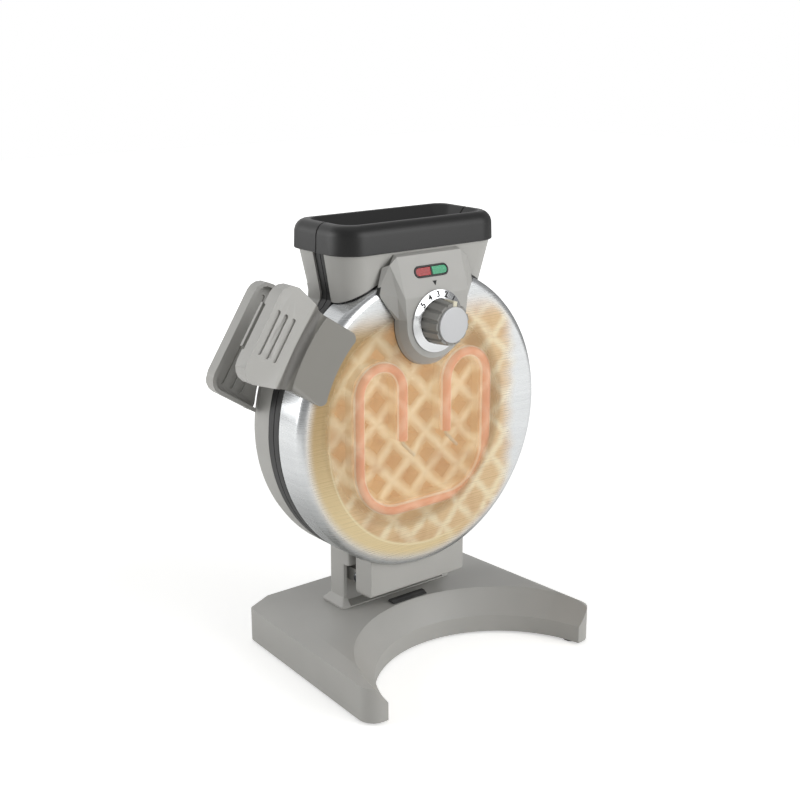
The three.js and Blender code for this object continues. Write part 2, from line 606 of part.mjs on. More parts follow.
// Frames: black heat-proof rings with the neck of the batter chute, one on each side of the parting plane
const FRAME_INSET = 1.5;
const PLATE_SEAT = PLATE_RADIUS + 2 * GAP;
const NECK_HOLE_HALF_WIDTH = 56;
let frontFrame = slabY(neckedDisc(DISC_RADIUS, FRAME_INSET, NECK_FILLET), -FRAME_DEPTH, -HALF_GAP);
frontFrame = frontFrame.subtract(levelHole(0, DISC_HEIGHT, PLATE_SEAT, -FAR, FAR, WHOLE_TURN_STEPS));
const neckHole = box(-NECK_HOLE_HALF_WIDTH, NECK_HOLE_HALF_WIDTH, -FAR, FAR, DISC_HEIGHT, FAR);
frontFrame = frontFrame.subtract(neckHole);
for (const place of LUG_PLACES) {
  const hole = levelHole(place.x, place.y, SCREW_RADIUS + GAP, -FAR, -PLATE_SCREW_TIP + GAP);
  frontFrame = frontFrame.subtract(hole);
}
addPiece('front_frame', frontFrame, BLACK_MOULDING);

// A small keeper on the edge of the rear frame, where the hook of the latch comes to lie
const KEEPER_REACH = 8.5;
const KEEPER_HALF_WIDTH = 8;
const KEEPER_DEPTH = 4.2;
const HANDLE_ANGLE = HANDLE_DIRECTION.angle();

// Turns a body that was drawn along the x axis into the line of the handles
function toHandle(body) {
  return body.rotate(0, -THREE.MathUtils.radToDeg(HANDLE_ANGLE), 0).translate(0, 0, DISC_HEIGHT);
}

const keeper = box(DISC_RADIUS - KEEPER_REACH, DISC_RADIUS + KEEPER_REACH, HALF_GAP, KEEPER_DEPTH,
  -KEEPER_HALF_WIDTH, KEEPER_HALF_WIDTH);
addPiece('rear_frame', mirrorY(frontFrame).add(toHandle(keeper)), BLACK_MOULDING);

// Grid plates: thin cast pans with a lattice of square posts, so that their backs show the same lattice
const PLATE_BACK = 15.5;
const FLANGE_DEPTH = 6;
const FLANGE_STEP = 2;
const CAVITY_DRAFT = 3;
const NECK_HALF_WIDTH = 55;
const NECK_FOOT = 238;
const NECK_TOP = 321.5;
const NECK_BACK = 10;
const CHANNEL_DEPTH = 7.5;
const GRID_PITCH = 24;
const POST_FOOT = 17;
const POST_TIP = 11;
const POST_CREST = 3.5;
const GRID_RADIUS = 86;
const DIMPLE_MOUTH = 13;
const DIMPLE_END = 7.5;
const DIMPLE_DEPTH = 9.3;
const SQUARE_SIDES = 4;
const gridCount = Math.ceil(GRID_RADIUS / GRID_PITCH);

// A square stub with its diagonals upright, from one depth and width to another
function squareStub(x, z, fromY, fromWidth, toY, toWidth) {
  const sign = Math.sign(toY - fromY);
  const [high, low] = sign > 0 ? [toWidth, fromWidth] : [fromWidth, toWidth];
  const depth = Math.abs(toY - fromY);
  const geometry = new THREE.CylinderGeometry(high / Math.SQRT2, low / Math.SQRT2, depth, SQUARE_SIDES);
  return solid(geometry.translate(x, (fromY + toY) / 2, z));
}

const gridPlaces = [];
for (let i = -gridCount; i < gridCount; i += 1) {
  for (let j = -gridCount; j < gridCount; j += 1) {
    const place = new THREE.Vector2(i - j, i + j + 1).multiplyScalar(GRID_PITCH / Math.SQRT2);
    const edge = place.length() + POST_TIP / 2;
    if (edge < GRID_RADIUS) gridPlaces.push(place);
  }
}

let frontPlate = turnedY(vec([0, -GAP], [PLATE_RADIUS, -GAP], [PLATE_RADIUS, -FLANGE_DEPTH],
  [PLATE_RADIUS - FLANGE_STEP, -FLANGE_DEPTH], [PLATE_RADIUS - FLANGE_STEP, -PLATE_BACK], [0, -PLATE_BACK]));
frontPlate = frontPlate.add(box(-NECK_HALF_WIDTH, NECK_HALF_WIDTH, -NECK_BACK, -GAP, NECK_FOOT, NECK_TOP));
for (const place of LUG_PLACES) {
  const angle = place.clone().sub(DISC_MIDDLE).angle();
  const outline = roundedRect(2 * LUG_HALF_WIDTH, LUG_HALF_WIDTH, LUG_HALF_WIDTH / 2,
    LUG_ORBIT - LUG_HALF_WIDTH, 0, PLAIN_STEP);
  const turned = outline.map((p) => p.rotateAround(new THREE.Vector2(), angle).add(DISC_MIDDLE));
  const lug = slabY(turned, -FRAME_DEPTH - GAP - LUG_DEPTH, -FRAME_DEPTH - GAP);
  frontPlate = frontPlate.add(lug).subtract(levelHole(place.x, place.y, SCREW_RADIUS + GAP, -FAR, FAR));
}
frontPlate = frontPlate.subtract(turnedY(vec([0, OVERRUN], [WAFFLE_RADIUS, OVERRUN], [WAFFLE_RADIUS, -GAP],
  [WAFFLE_RADIUS - CAVITY_DRAFT, -WAFFLE_HALF_DEPTH], [0, -WAFFLE_HALF_DEPTH])));
const channelFoot = DISC_HEIGHT + Math.sqrt((WAFFLE_RADIUS - CAVITY_DRAFT) ** 2 - CHUTE_HALF_WIDTH ** 2);
const channel = box(-CHUTE_HALF_WIDTH, CHUTE_HALF_WIDTH, -CHANNEL_DEPTH, OVERRUN, channelFoot, FAR);
frontPlate = frontPlate.subtract(channel);
for (const place of gridPlaces) {
  const z = DISC_HEIGHT + place.y;
  const postFoot = -WAFFLE_HALF_DEPTH - HALF_GAP;
  const dimpleMouth = -PLATE_BACK - HALF_GAP;
  const dimpleEnd = -PLATE_BACK + DIMPLE_DEPTH;
  frontPlate = frontPlate.add(squareStub(place.x, z, postFoot, POST_FOOT, -POST_CREST, POST_TIP));
  frontPlate = frontPlate.subtract(squareStub(place.x, z, dimpleMouth, DIMPLE_MOUTH, dimpleEnd, DIMPLE_END));
}

// Heating element: one tube bent into a deep U whose ends turn back down inside it
const HEATER_RADIUS = 3.9;
const HEATER_SIDES = 8;
const HEATER_Y = -27.6;
const HEATER_LEFT = -60;
const HEATER_RIGHT = 69.4;
const HEATER_TOP = 243.2;
const HEATER_BOTTOM = 124.2;
const HEATER_CORNER = 38;
const HEATER_RETURN = 42.4;
const HEATER_END = 181;
const TERMINAL_RADIUS = 1.6;
const TERMINAL_REACH = 17;
const TERMINAL_SINK = 6;
const RAIL_HALF_WIDTH = 4.5;

// A route through given points, straight between them, with its tangents along each stretch
class Route extends THREE.Curve {
  constructor(points) {
    super();
    this.points = points;
    this.marks = points.map(() => 0);
    for (let i = 1; i < points.length; i += 1) {
      this.marks[i] = this.marks[i - 1] + points[i].distanceTo(points[i - 1]);
    }
  }

  getPoint(share, target = new THREE.Vector3()) {
    const last = this.points.length - 1;
    const nearest = Math.min(last, Math.round(share * last));
    return target.copy(this.points[nearest]);
  }

  getPointAt(share, target) {
    return this.getPoint(share, target);
  }

  getTangent(share, target = new THREE.Vector3()) {
    const last = this.points.length - 1;
    const nearest = Math.min(last, Math.round(share * last));
    const before = this.points[Math.max(0, nearest - 1)];
    const after = this.points[Math.min(last, nearest + 1)];
    return target.copy(after).sub(before).normalize();
  }

  getTangentAt(share, target) {
    return this.getTangent(share, target);
  }
}

function sweep(section, points) {
  const geometry = new THREE.ExtrudeGeometry(new THREE.Shape(section), {
    steps: points.length - 1,
    extrudePath: new Route(points),
    bevelEnabled: false,
  });
  return solid(geometry);
}

const heaterReturnRadius = HEATER_RETURN / 2;
const heaterBow = HEATER_TOP - heaterReturnRadius;
const heaterSag = HEATER_BOTTOM + HEATER_CORNER;
const heaterLine = [
  ...vec([HEATER_LEFT + HEATER_RETURN, HEATER_END]),
  ...arc(HEATER_LEFT + heaterReturnRadius, heaterBow, heaterReturnRadius, 0, HALF_TURN, EDGE_STEP),
  ...arc(HEATER_LEFT + HEATER_CORNER, heaterSag, HEATER_CORNER, -HALF_TURN, -QUARTER, EDGE_STEP),
  ...arc(HEATER_RIGHT - HEATER_CORNER, heaterSag, HEATER_CORNER, -QUARTER, 0, EDGE_STEP),
  ...arc(HEATER_RIGHT - heaterReturnRadius, heaterBow, heaterReturnRadius, 0, HALF_TURN, EDGE_STEP),
  ...vec([HEATER_RIGHT - HEATER_RETURN, HEATER_END]),
];

function atDepth(line, y) {
  return line.map((p) => new THREE.Vector3(p.x, y, p.y));
}

function tubeSection(radius) {
  return arc(0, 0, radius, 0, WHOLE_TURN, WHOLE_TURN / HEATER_SIDES).slice(0, -1);
}

let frontHeater = sweep(tubeSection(HEATER_RADIUS), atDepth(heaterLine, HEATER_Y));
for (const x of [HEATER_LEFT + HEATER_RETURN, HEATER_RIGHT - HEATER_RETURN]) {
  const slope = TERMINAL_REACH / Math.SQRT2;
  const bend = HEATER_END - TERMINAL_SINK / 2;
  const route = vec([x, HEATER_END + TERMINAL_SINK], [x, bend], [x + slope, bend - slope]);
  frontHeater = frontHeater.add(sweep(tubeSection(TERMINAL_RADIUS), atDepth(route, HEATER_Y)));
}
addPiece('front_heating_element', frontHeater, HEATER_SHEATH);
addPiece('rear_heating_element', mirrorY(frontHeater), HEATER_SHEATH);

// Casting rail on the back of each plate, under the whole run of its heating element
const railTop = HEATER_Y + HEATER_RADIUS + GAP;
const railFoot = -PLATE_BACK + HALF_GAP;
const railHalfHeight = (railFoot - railTop) / 2;
const railSection = vec([-railHalfHeight, -RAIL_HALF_WIDTH], [railHalfHeight, -RAIL_HALF_WIDTH],
  [railHalfHeight, RAIL_HALF_WIDTH], [-railHalfHeight, RAIL_HALF_WIDTH]);
frontPlate = frontPlate.add(sweep(railSection, atDepth(heaterLine, railTop + railHalfHeight)));
addPiece('front_grid_plate', frontPlate, CAST_PLATE);
addPiece('rear_grid_plate', mirrorY(frontPlate), CAST_PLATE);

// Screws through the lugs of the plates into the frames
const lugSeat = FRAME_DEPTH + LUG_DEPTH + 2 * GAP;
LUG_PLACES.forEach((place, i) => {
  const { x, y: z } = place;
  addPiece(`front_plate_screw_${i + 1}`, levelScrew(x, z, -lugSeat, -PLATE_SCREW_TIP), ZINC_STEEL);
  addPiece(`rear_plate_screw_${i + 1}`, levelScrew(x, z, lugSeat, PLATE_SCREW_TIP), ZINC_STEEL);
});

// Thermal cutout clamped on the back of the rear plate
const CUTOUT_RADIUS = 8;
const CUTOUT_DEPTH = 7;
const CUTOUT_EAR = 12;
const CUTOUT_EAR_DEPTH = 1.2;
const cutoutSeat = PLATE_BACK + GAP;
const cutout = levelHole(0, DISC_HEIGHT, CUTOUT_RADIUS, cutoutSeat, cutoutSeat + CUTOUT_DEPTH, PIN_SIDES);
const cutoutEars = box(-CUTOUT_EAR, CUTOUT_EAR, cutoutSeat, cutoutSeat + CUTOUT_EAR_DEPTH,
  DISC_HEIGHT - CUTOUT_RADIUS / 2, DISC_HEIGHT + CUTOUT_RADIUS / 2);
addPiece('thermal_cutout', cutout.add(cutoutEars), CERAMIC);

// Profile of a pan-shaped cover: from its rim round the edge to the middle of its face
function coverProfile(wall, round, side) {
  const radius = DISC_RADIUS - wall;
  const rim = FRAME_DEPTH + GAP;
  const corner = round - wall;
  const bend = arc(radius - corner, COVER_DEPTH - wall - corner, corner, 0, QUARTER, EDGE_STEP);
  return [new THREE.Vector2(radius, rim), ...bend, new THREE.Vector2(0, COVER_DEPTH - wall)]
    .map((p) => new THREE.Vector2(p.x, side * p.y));
}

// A whole pan-shaped solid, out to a margin beyond the cover
function coverBlank(wall, round, side, steps = WHOLE_TURN_STEPS) {
  const profile = coverProfile(wall, round, side);
  return turnedY([new THREE.Vector2(0, profile[0].y), ...profile], 0, DISC_HEIGHT, steps);
}

// Front cover: one shell of brushed sheet, cut away over the chute and pierced for the thermostat
const THERMOSTAT_HOLE = 11;
const NECK_CUT_HALF_WIDTH = 56.5;
const NECK_CUT_DEPTH = 12;
const FRONT_HANDLE_SCREW_ORBIT = 110.5;
const REAR_HANDLE_SCREW_ORBIT = 106.8;
const HANDLE_SCREW_SPREAD = Math.PI / 18;

function handleScrewPlaces(orbit) {
  const [from, to] = [HANDLE_ANGLE - HANDLE_SCREW_SPREAD, HANDLE_ANGLE + HANDLE_SCREW_SPREAD];
  return arc(0, DISC_HEIGHT, orbit, from, to, to - from);
}

const frontHandleScrews = handleScrewPlaces(FRONT_HANDLE_SCREW_ORBIT);
const rearHandleScrews = handleScrewPlaces(REAR_HANDLE_SCREW_ORBIT);
const steelHollow = union([
  coverBlank(STEEL_WALL, FRONT_EDGE_ROUND, -1, HIDDEN_TURN_STEPS),
  levelHole(0, DISC_HEIGHT, DISC_RADIUS - STEEL_WALL, -FRAME_DEPTH - OVERRUN, 0, HIDDEN_TURN_STEPS),
]);
const neckCut = box(-NECK_CUT_HALF_WIDTH, NECK_CUT_HALF_WIDTH, -NECK_CUT_DEPTH, 0, DISC_HEIGHT, FAR);
let frontCover = coverBlank(0, FRONT_EDGE_ROUND, -1)
  .subtract(steelHollow)
  .subtract(neckCut)
  .subtract(levelHole(0, DIAL_HEIGHT, THERMOSTAT_HOLE, -FAR, 0, PIN_SIDES));
for (const place of frontHandleScrews) {
  frontCover = frontCover.subtract(levelHole(place.x, place.y, SCREW_RADIUS + GAP, -FAR, 0));
}
for (const side of [-1, 1]) {
  const hole = column(SCREW_RADIUS + GAP, 0, DISC_HEIGHT, side * SADDLE_SCREW_X, BLOCK_SCREW_Y, SCREW_SIDES);
  frontCover = frontCover.subtract(hole);
}
addPiece('front_cover', frontCover, BRUSHED_STEEL);

// One half of the flared spout body, drawn down past the edge of the disc
const SPOUT_CORNER = 17;
const SPOUT_REAR_Y = 36.6;
const SPOUT_REAR_FOOT_Y = 33.5;
const SPOUT_TUCK = 14;

function spoutPlan(halfWidth, depth, side, inset) {
  const corner = SPOUT_CORNER - inset;
  const [half, face] = [halfWidth - inset, depth - inset];
  return [
    new THREE.Vector2(half, FRAME_DEPTH + GAP),
    ...arc(half - corner, face - corner, corner, 0, QUARTER),
    ...arc(-half + corner, face - corner, corner, QUARTER, HALF_TURN),
    new THREE.Vector2(-half, FRAME_DEPTH + GAP),
  ].map((p) => new THREE.Vector2(p.x, side * p.y));
}

function spoutHalf(topDepth, footDepth, side, inset) {
  const share = SPOUT_TUCK / (SPOUT_TOP - SPOUT_FOOT);
  const low = THREE.MathUtils.lerp(SPOUT_HALF_BOTTOM, SPOUT_HALF_TOP, -share);
  const lowDepth = THREE.MathUtils.lerp(footDepth, topDepth, -share);
  const above = inset > 0 ? OVERRUN : 0;
  return solid(new ConvexGeometry([
    ...ringAt(spoutPlan(low, lowDepth, side, inset), SPOUT_FOOT - SPOUT_TUCK),
    ...ringAt(spoutPlan(SPOUT_HALF_TOP, topDepth, side, inset), SPOUT_TOP + above),
  ]));
}

// Rear cover: disc, spout half and the fillets between them as one moulded shell
const rearFilletDepth = COVER_DEPTH - REAR_EDGE_ROUND;
const rearWedge = slabY(neckedDisc(DISC_RADIUS, 0, NECK_FILLET), FRAME_DEPTH + GAP, rearFilletDepth)
  .intersect(box(-FAR, FAR, 0, FAR, DISC_HEIGHT, SPOUT_FOOT + SPOUT_TUCK));
const rearHollow = union([
  coverBlank(PLASTIC_WALL, REAR_EDGE_ROUND, 1, HIDDEN_TURN_STEPS),
  levelHole(0, DISC_HEIGHT, DISC_RADIUS - PLASTIC_WALL, 0, FRAME_DEPTH + OVERRUN, HIDDEN_TURN_STEPS),
  spoutHalf(SPOUT_REAR_Y, SPOUT_REAR_FOOT_Y, 1, PLASTIC_WALL),
  box(-CHUTE_HALF_WIDTH, CHUTE_HALF_WIDTH, 0, FRAME_DEPTH + OVERRUN, DISC_HEIGHT, FAR),
]);
let rearCover = union([
  coverBlank(0, REAR_EDGE_ROUND, 1),
  spoutHalf(SPOUT_REAR_Y, SPOUT_REAR_FOOT_Y, 1, 0),
  rearWedge,
]).subtract(rearHollow);
for (const place of rearHandleScrews) {
  rearCover = rearCover.subtract(levelHole(place.x, place.y, SCREW_RADIUS + GAP, 0, FAR));
}
for (const side of [-1, 1]) {
  const x = side * SADDLE_SCREW_X;
  const hole = column(SCREW_RADIUS + GAP, 0, DISC_HEIGHT, x, SADDLE_SCREW_Y, SCREW_SIDES);
  rearCover = rearCover.subtract(hole);
}
rearCover = rearCover.subtract(box(-WIRE_DUCT_HALF_WIDTH, WIRE_DUCT_HALF_WIDTH, WIRE_DUCT_FRONT_Y,
  WIRE_DUCT_REAR_Y, 0, DISC_HEIGHT - PLATE_RADIUS));
addPiece('rear_cover', rearCover, GREY_MOULDING);

// Front shell: the spout's front half and the faceted control panel as one moulding over the steel
const PANEL_CHIN_RADIUS = 31.5;
const PANEL_FLANK = 33.4;
const PANEL_CHIN_DROP = 38.6;
const PANEL_FLANK_HEIGHT = 281.7;
const PANEL_BEVEL_Y = -44.4;
const PANEL_BEVEL_KINK = 35;
const PANEL_BEVEL_TOP = 38;
const PANEL_BEVEL_HEIGHT = 323.5;
const PANEL_CREST_HEIGHT = 329.5;
const PANEL_SHOULDER = 47.5;
const PANEL_SHOULDER_HEIGHT = 302.6;
const SIDE_FOOT_RISE = 6.5;
const SIDE_FOOT_INSET = 5.6;

// Lower half of an ellipse round the dial
function chinArc(halfWidth, drop) {
  const size = new THREE.Vector2(halfWidth, drop);
  const middle = new THREE.Vector2(0, DIAL_HEIGHT);
  return arc(0, 0, 1, -HALF_TURN, 0, CHIN_STEP).map((p) => p.multiply(size).add(middle));
}

// The same, closed above by the flanks
function chin(halfWidth, drop, inset) {
  return [
    new THREE.Vector2(halfWidth - inset, PANEL_FLANK_HEIGHT),
    new THREE.Vector2(inset - halfWidth, PANEL_FLANK_HEIGHT),
    ...chinArc(halfWidth - inset, drop - inset),
  ];
}

function facePoints(points, y) {
  return points.map((p) => new THREE.Vector3(p.x, y, p.y));
}

function bothSides(x, y, z) {
  return [new THREE.Vector3(x, y, z), new THREE.Vector3(-x, y, z)];
}

function panelBody(inset) {
  const face = PANEL_FACE_Y + inset;
  const bevel = PANEL_BEVEL_Y + inset / 2;
  const spoutFace = SPOUT_FRONT_Y + inset;
  const back = inset > 0 ? -COVER_DEPTH + OVERRUN : -COVER_DEPTH;
  const flat = PANEL_FACE_HALF_WIDTH - inset / 2;
  const flank = PANEL_FLANK - inset;
  const kink = PANEL_BEVEL_KINK - inset;
  const top = PANEL_BEVEL_TOP - inset;
  const shoulder = PANEL_SHOULDER - inset;
  const bevelEdge = [
    ...bothSides(flank, bevel, PANEL_FLANK_HEIGHT),
    ...bothSides(kink, bevel, PANEL_KINK_HEIGHT),
    ...bothSides(top, spoutFace, PANEL_BEVEL_HEIGHT - inset),
  ];
  const wings = solid(new ConvexGeometry([
    ...bevelEdge,
    ...bothSides(shoulder, spoutFace, PANEL_SHOULDER_HEIGHT),
    ...bothSides(shoulder, back, PANEL_SHOULDER_HEIGHT),
    ...bothSides(flank, back, PANEL_FLANK_HEIGHT),
    ...bothSides(top, back, PANEL_BEVEL_HEIGHT - inset),
  ]));
  const bow = solid(new ConvexGeometry([
    ...bevelEdge,
    ...bothSides(flat, face, PANEL_FLANK_HEIGHT),
    ...bothSides(flat, face, PANEL_KINK_HEIGHT - inset / 2),
    ...bothSides(flat, spoutFace, PANEL_CREST_HEIGHT - inset),
  ]));
  const chinBody = solid(new ConvexGeometry([
    ...facePoints(chin(PANEL_FLANK, PANEL_CHIN_DROP, inset), back),
    ...facePoints(chin(PANEL_FLANK, PANEL_CHIN_DROP, inset), bevel),
    ...facePoints(chin(PANEL_FACE_HALF_WIDTH + inset / 2, PANEL_CHIN_RADIUS + inset / 2, inset), face),
  ]));
  return union([wings, bow, chinBody]);
}

const spoutTrim = slabY([
  ...vec([FAR, SPOUT_TOP + OVERRUN], [-FAR, SPOUT_TOP + OVERRUN], [-FAR, SPOUT_FOOT],
    [-SPOUT_HALF_BOTTOM, SPOUT_FOOT], [-SPOUT_HALF_BOTTOM + SIDE_FOOT_INSET, SPOUT_FOOT + SIDE_FOOT_RISE],
    [-PANEL_SHOULDER, PANEL_SHOULDER_HEIGHT], [-PANEL_FLANK, PANEL_FLANK_HEIGHT]),
  ...chinArc(PANEL_FLANK, PANEL_CHIN_DROP),
  ...vec([PANEL_FLANK, PANEL_FLANK_HEIGHT], [PANEL_SHOULDER, PANEL_SHOULDER_HEIGHT],
    [SPOUT_HALF_BOTTOM - SIDE_FOOT_INSET, SPOUT_FOOT + SIDE_FOOT_RISE], [SPOUT_HALF_BOTTOM, SPOUT_FOOT],
    [FAR, SPOUT_FOOT]),
], -FAR, FAR);
const steelRoom = coverBlank(-GAP, FRONT_EDGE_ROUND, -1)
  .add(levelHole(0, DISC_HEIGHT, DISC_RADIUS + GAP, -COVER_DEPTH / 2, 0, WHOLE_TURN_STEPS));
const spoutOuter = spoutHalf(-SPOUT_FRONT_Y, -SPOUT_FRONT_Y, -1, 0).add(panelBody(0)).intersect(spoutTrim);
const spoutInner = union([
  spoutHalf(-SPOUT_FRONT_Y, -SPOUT_FRONT_Y, -1, PLASTIC_WALL),
  panelBody(PLASTIC_WALL),
  box(-CHUTE_HALF_WIDTH - PLASTIC_WALL, CHUTE_HALF_WIDTH + PLASTIC_WALL, -FRAME_DEPTH - OVERRUN, 0,
    SPOUT_FOOT, FAR),
]);
let spoutShell = spoutOuter.subtract(spoutInner).subtract(steelRoom);

// Indicator: a capsule window in the sloping part of the panel, with a red and a green lens
const INDICATOR_HEIGHT = 316;
const INDICATOR_HALF_LENGTH = 16.8;
const INDICATOR_HALF_HEIGHT = 4.7;
const INDICATOR_RIM = 1;
const INDICATOR_PROUD = 0.5;
const INDICATOR_SINK = 3.5;
const LENS_PROUD = 0.2;
const LENS_DEPTH = 2.4;
const LAMP_RADIUS = 2;
const LAMP_LENGTH = 5;
const LAMP_SPREAD = 8;
const BOARD_HALF_LENGTH = 14.5;
const BOARD_HALF_HEIGHT = 5.5;
const BOARD_DEPTH = 1.6;
const BOARD_CORNER = 1;
const BEZEL_LEG_HALF_WIDTH = 2;
const slopeRise = PANEL_CREST_HEIGHT - PANEL_KINK_HEIGHT;
const slopeRun = SPOUT_FRONT_Y - PANEL_FACE_Y;
const slopeTilt = Math.atan2(slopeRun, slopeRise);

// Moves a body from a bench, where it faces up the Z axis, on to the sloping face of the panel
function toSlope(body) {
  const y = PANEL_FACE_Y + (INDICATOR_HEIGHT - PANEL_KINK_HEIGHT) * slopeRun / slopeRise;
  return body.rotate(THREE.MathUtils.radToDeg(QUARTER - slopeTilt), 0, 0).translate(0, y, INDICATOR_HEIGHT);
}

function capsule(inset) {
  const radius = INDICATOR_HALF_HEIGHT - inset;
  const middle = INDICATOR_HALF_LENGTH - INDICATOR_HALF_HEIGHT;
  return [
    ...arc(middle, 0, radius, -QUARTER, QUARTER, CORNER_STEP),
    ...arc(-middle, 0, radius, QUARTER, QUARTER + HALF_TURN, CORNER_STEP),
  ];
}

const windowRim = slabZ(capsule(GAP), -INDICATOR_SINK, INDICATOR_PROUD)
  .subtract(slabZ(capsule(GAP + INDICATOR_RIM), -FAR, FAR));
const windowBar = box(-INDICATOR_RIM / 2, INDICATOR_RIM / 2, GAP + HALF_GAP - INDICATOR_HALF_HEIGHT,
  INDICATOR_HALF_HEIGHT - GAP - HALF_GAP, -INDICATOR_SINK, LENS_PROUD);
const lensBlank = slabZ(capsule(2 * GAP + INDICATOR_RIM), -LENS_DEPTH, LENS_PROUD);
const lensEdge = INDICATOR_RIM / 2 + GAP;
addPiece('red_lens', toSlope(lensBlank.intersect(box(-FAR, -lensEdge, -FAR, FAR, -FAR, FAR))), RED_LENS);
addPiece('green_lens', toSlope(lensBlank.intersect(box(lensEdge, FAR, -FAR, FAR, -FAR, FAR))), GREEN_LENS);
const lampTop = -INDICATOR_SINK - GAP;
const boardTop = lampTop - LAMP_LENGTH;
const boardBottom = boardTop - BOARD_DEPTH;
const bezelLegs = slabZ(capsule(GAP), boardBottom, GAP - INDICATOR_SINK)
  .intersect(box(-FAR, FAR, -BEZEL_LEG_HALF_WIDTH, BEZEL_LEG_HALF_WIDTH, -FAR, FAR))
  .subtract(box(-BOARD_HALF_LENGTH - GAP, BOARD_HALF_LENGTH + GAP, -FAR, FAR, -FAR, FAR));
addPiece('indicator_bezel', toSlope(union([windowRim, windowBar, bezelLegs])), BLACK_MOULDING);
const boardPlan = roundedRect(BOARD_HALF_LENGTH, BOARD_HALF_HEIGHT, BOARD_CORNER);
let lampBoard = slabZ(boardPlan, boardBottom, boardTop);
for (const side of [-1, 1]) {
  const lamp = column(LAMP_RADIUS, boardTop - GAP, lampTop, side * LAMP_SPREAD, 0, SCREW_SIDES);
  lampBoard = lampBoard.add(lamp);
}
addPiece('lamp_board', toSlope(lampBoard), CERAMIC);
spoutShell = spoutShell.subtract(toSlope(slabZ(capsule(0), -OVERRUN, OVERRUN)));

// Thermostat behind the panel, with a threaded neck through the panel's face
const THERMOSTAT_RADIUS = 12;
const THERMOSTAT_DEPTH = 9;
const THERMOSTAT_NECK = 5;
const SHAFT_RADIUS = 3;
const thermostatFront = PANEL_FACE_Y + PLASTIC_WALL + GAP;
const thermostatBack = thermostatFront + THERMOSTAT_DEPTH;
const shaftRoom = SHAFT_RADIUS + GAP;
const thermostat = turnedY(vec([shaftRoom, PANEL_FACE_Y], [THERMOSTAT_NECK, PANEL_FACE_Y],
  [THERMOSTAT_NECK, thermostatFront], [THERMOSTAT_RADIUS, thermostatFront],
  [THERMOSTAT_RADIUS, thermostatBack], [shaftRoom, thermostatBack], [shaftRoom, PANEL_FACE_Y]), 0,
DIAL_HEIGHT, PIN_SIDES);
addPiece('thermostat', thermostat, ZINC_STEEL);
spoutShell = spoutShell.subtract(levelHole(0, DIAL_HEIGHT, THERMOSTAT_NECK + GAP, -FAR, 0, PIN_SIDES));
addPiece('front_spout_shell', spoutShell, GREY_MOULDING);

// Browning dial: a conical metal skirt with the numbers, a fluted grip, a pale cap and a marker
const SKIRT_EDGE = 0.9;
const SKIRT_CONE = 2.4;
const GRIP_BASE_RADIUS = 17.7;
const GRIP_RIM_RADIUS = 16.2;
const GRIP_FRONT_Y = -66;
const FLUTES = 13;
const FLUTE_DEPTH = 1.4;
const CAP_RADIUS = 13.8;
const CAP_DEPTH = 1.5;
const CAP_CROWN = 0.4;
const CAP_EDGE = 0.6;
const SHAFT_SINK = 8;
const MARKER_LEAN = 23;
const MARKER_HALF_WIDTH = 2;
const MARKER_HEIGHT = 5;
const MARKER_LENGTH = 11;
const skirtBack = PANEL_FACE_Y - GAP;
const gripBack = skirtBack - SKIRT_EDGE - GAP;
const skirtSeat = GRIP_BASE_RADIUS + GAP;
const skirtFront = skirtBack - SKIRT_EDGE;
const dialSkirt = turnedY(vec([shaftRoom, skirtBack], [DIAL_RADIUS, skirtBack], [DIAL_RADIUS, skirtFront],
  [skirtSeat, skirtBack - SKIRT_CONE], [skirtSeat, skirtFront], [shaftRoom, skirtFront],
  [shaftRoom, skirtBack]), 0, DIAL_HEIGHT, 2 * PIN_SIDES);
addPiece('dial_skirt', dialSkirt, BRUSHED_STEEL);

// Ring of a fluted outline: each flute has a land, two flanks and a floor
function fluteRing(radius, y) {
  const points = [];
  const turn = WHOLE_TURN / FLUTES;
  const landShares = [-0.3, 0.3];
  const floorShares = [0.42, 0.58];
  for (let i = 0; i < FLUTES; i += 1) {
    for (const share of landShares) points.push([(i + share) * turn, radius]);
    for (const share of floorShares) points.push([(i + share) * turn, radius - FLUTE_DEPTH]);
  }
  return points.map(([angle, r]) => (
    new THREE.Vector3(r * Math.cos(angle), y, DIAL_HEIGHT + r * Math.sin(angle))
  ));
}

let grip = loft([fluteRing(GRIP_BASE_RADIUS, gripBack), fluteRing(GRIP_RIM_RADIUS, GRIP_FRONT_Y)]);
const shaftFront = GRIP_FRONT_Y + SHAFT_SINK;
grip = grip.subtract(levelHole(0, DIAL_HEIGHT, shaftRoom, shaftFront - GAP, 0, PIN_SIDES));

// Places a body that was drawn at the top of the grip at the marker's place round its edge
function toMarker(body) {
  return body.translate(0, 0, GRIP_BASE_RADIUS).rotate(0, MARKER_LEAN, 0).translate(0, 0, DIAL_HEIGHT);
}

const markerBack = GRIP_FRONT_Y + MARKER_LENGTH;
const roomHalf = MARKER_HALF_WIDTH + GAP;
grip = grip.subtract(toMarker(box(-roomHalf, roomHalf, -FAR, markerBack + GAP, -MARKER_HEIGHT, FAR)));
const marker = box(-MARKER_HALF_WIDTH, MARKER_HALF_WIDTH, GRIP_FRONT_Y, markerBack, GAP - MARKER_HEIGHT, 0);
addPiece('knob_grip', grip, GREY_MOULDING);
addPiece('knob_marker', toMarker(marker), CERAMIC);
const capBack = GRIP_FRONT_Y - GAP;
const capFront = capBack - CAP_DEPTH;
const cap = turnedY(vec([0, capBack], [CAP_RADIUS, capBack], [CAP_RADIUS, capFront + CAP_EDGE],
  [CAP_RADIUS - CAP_EDGE, capFront], [0, capFront - CAP_CROWN]), 0, DIAL_HEIGHT, 2 * PIN_SIDES);
addPiece('knob_cap', cap, PALE_CAP);
const shaft = levelHole(0, DIAL_HEIGHT, SHAFT_RADIUS, shaftFront, thermostatBack - GAP, PIN_SIDES);
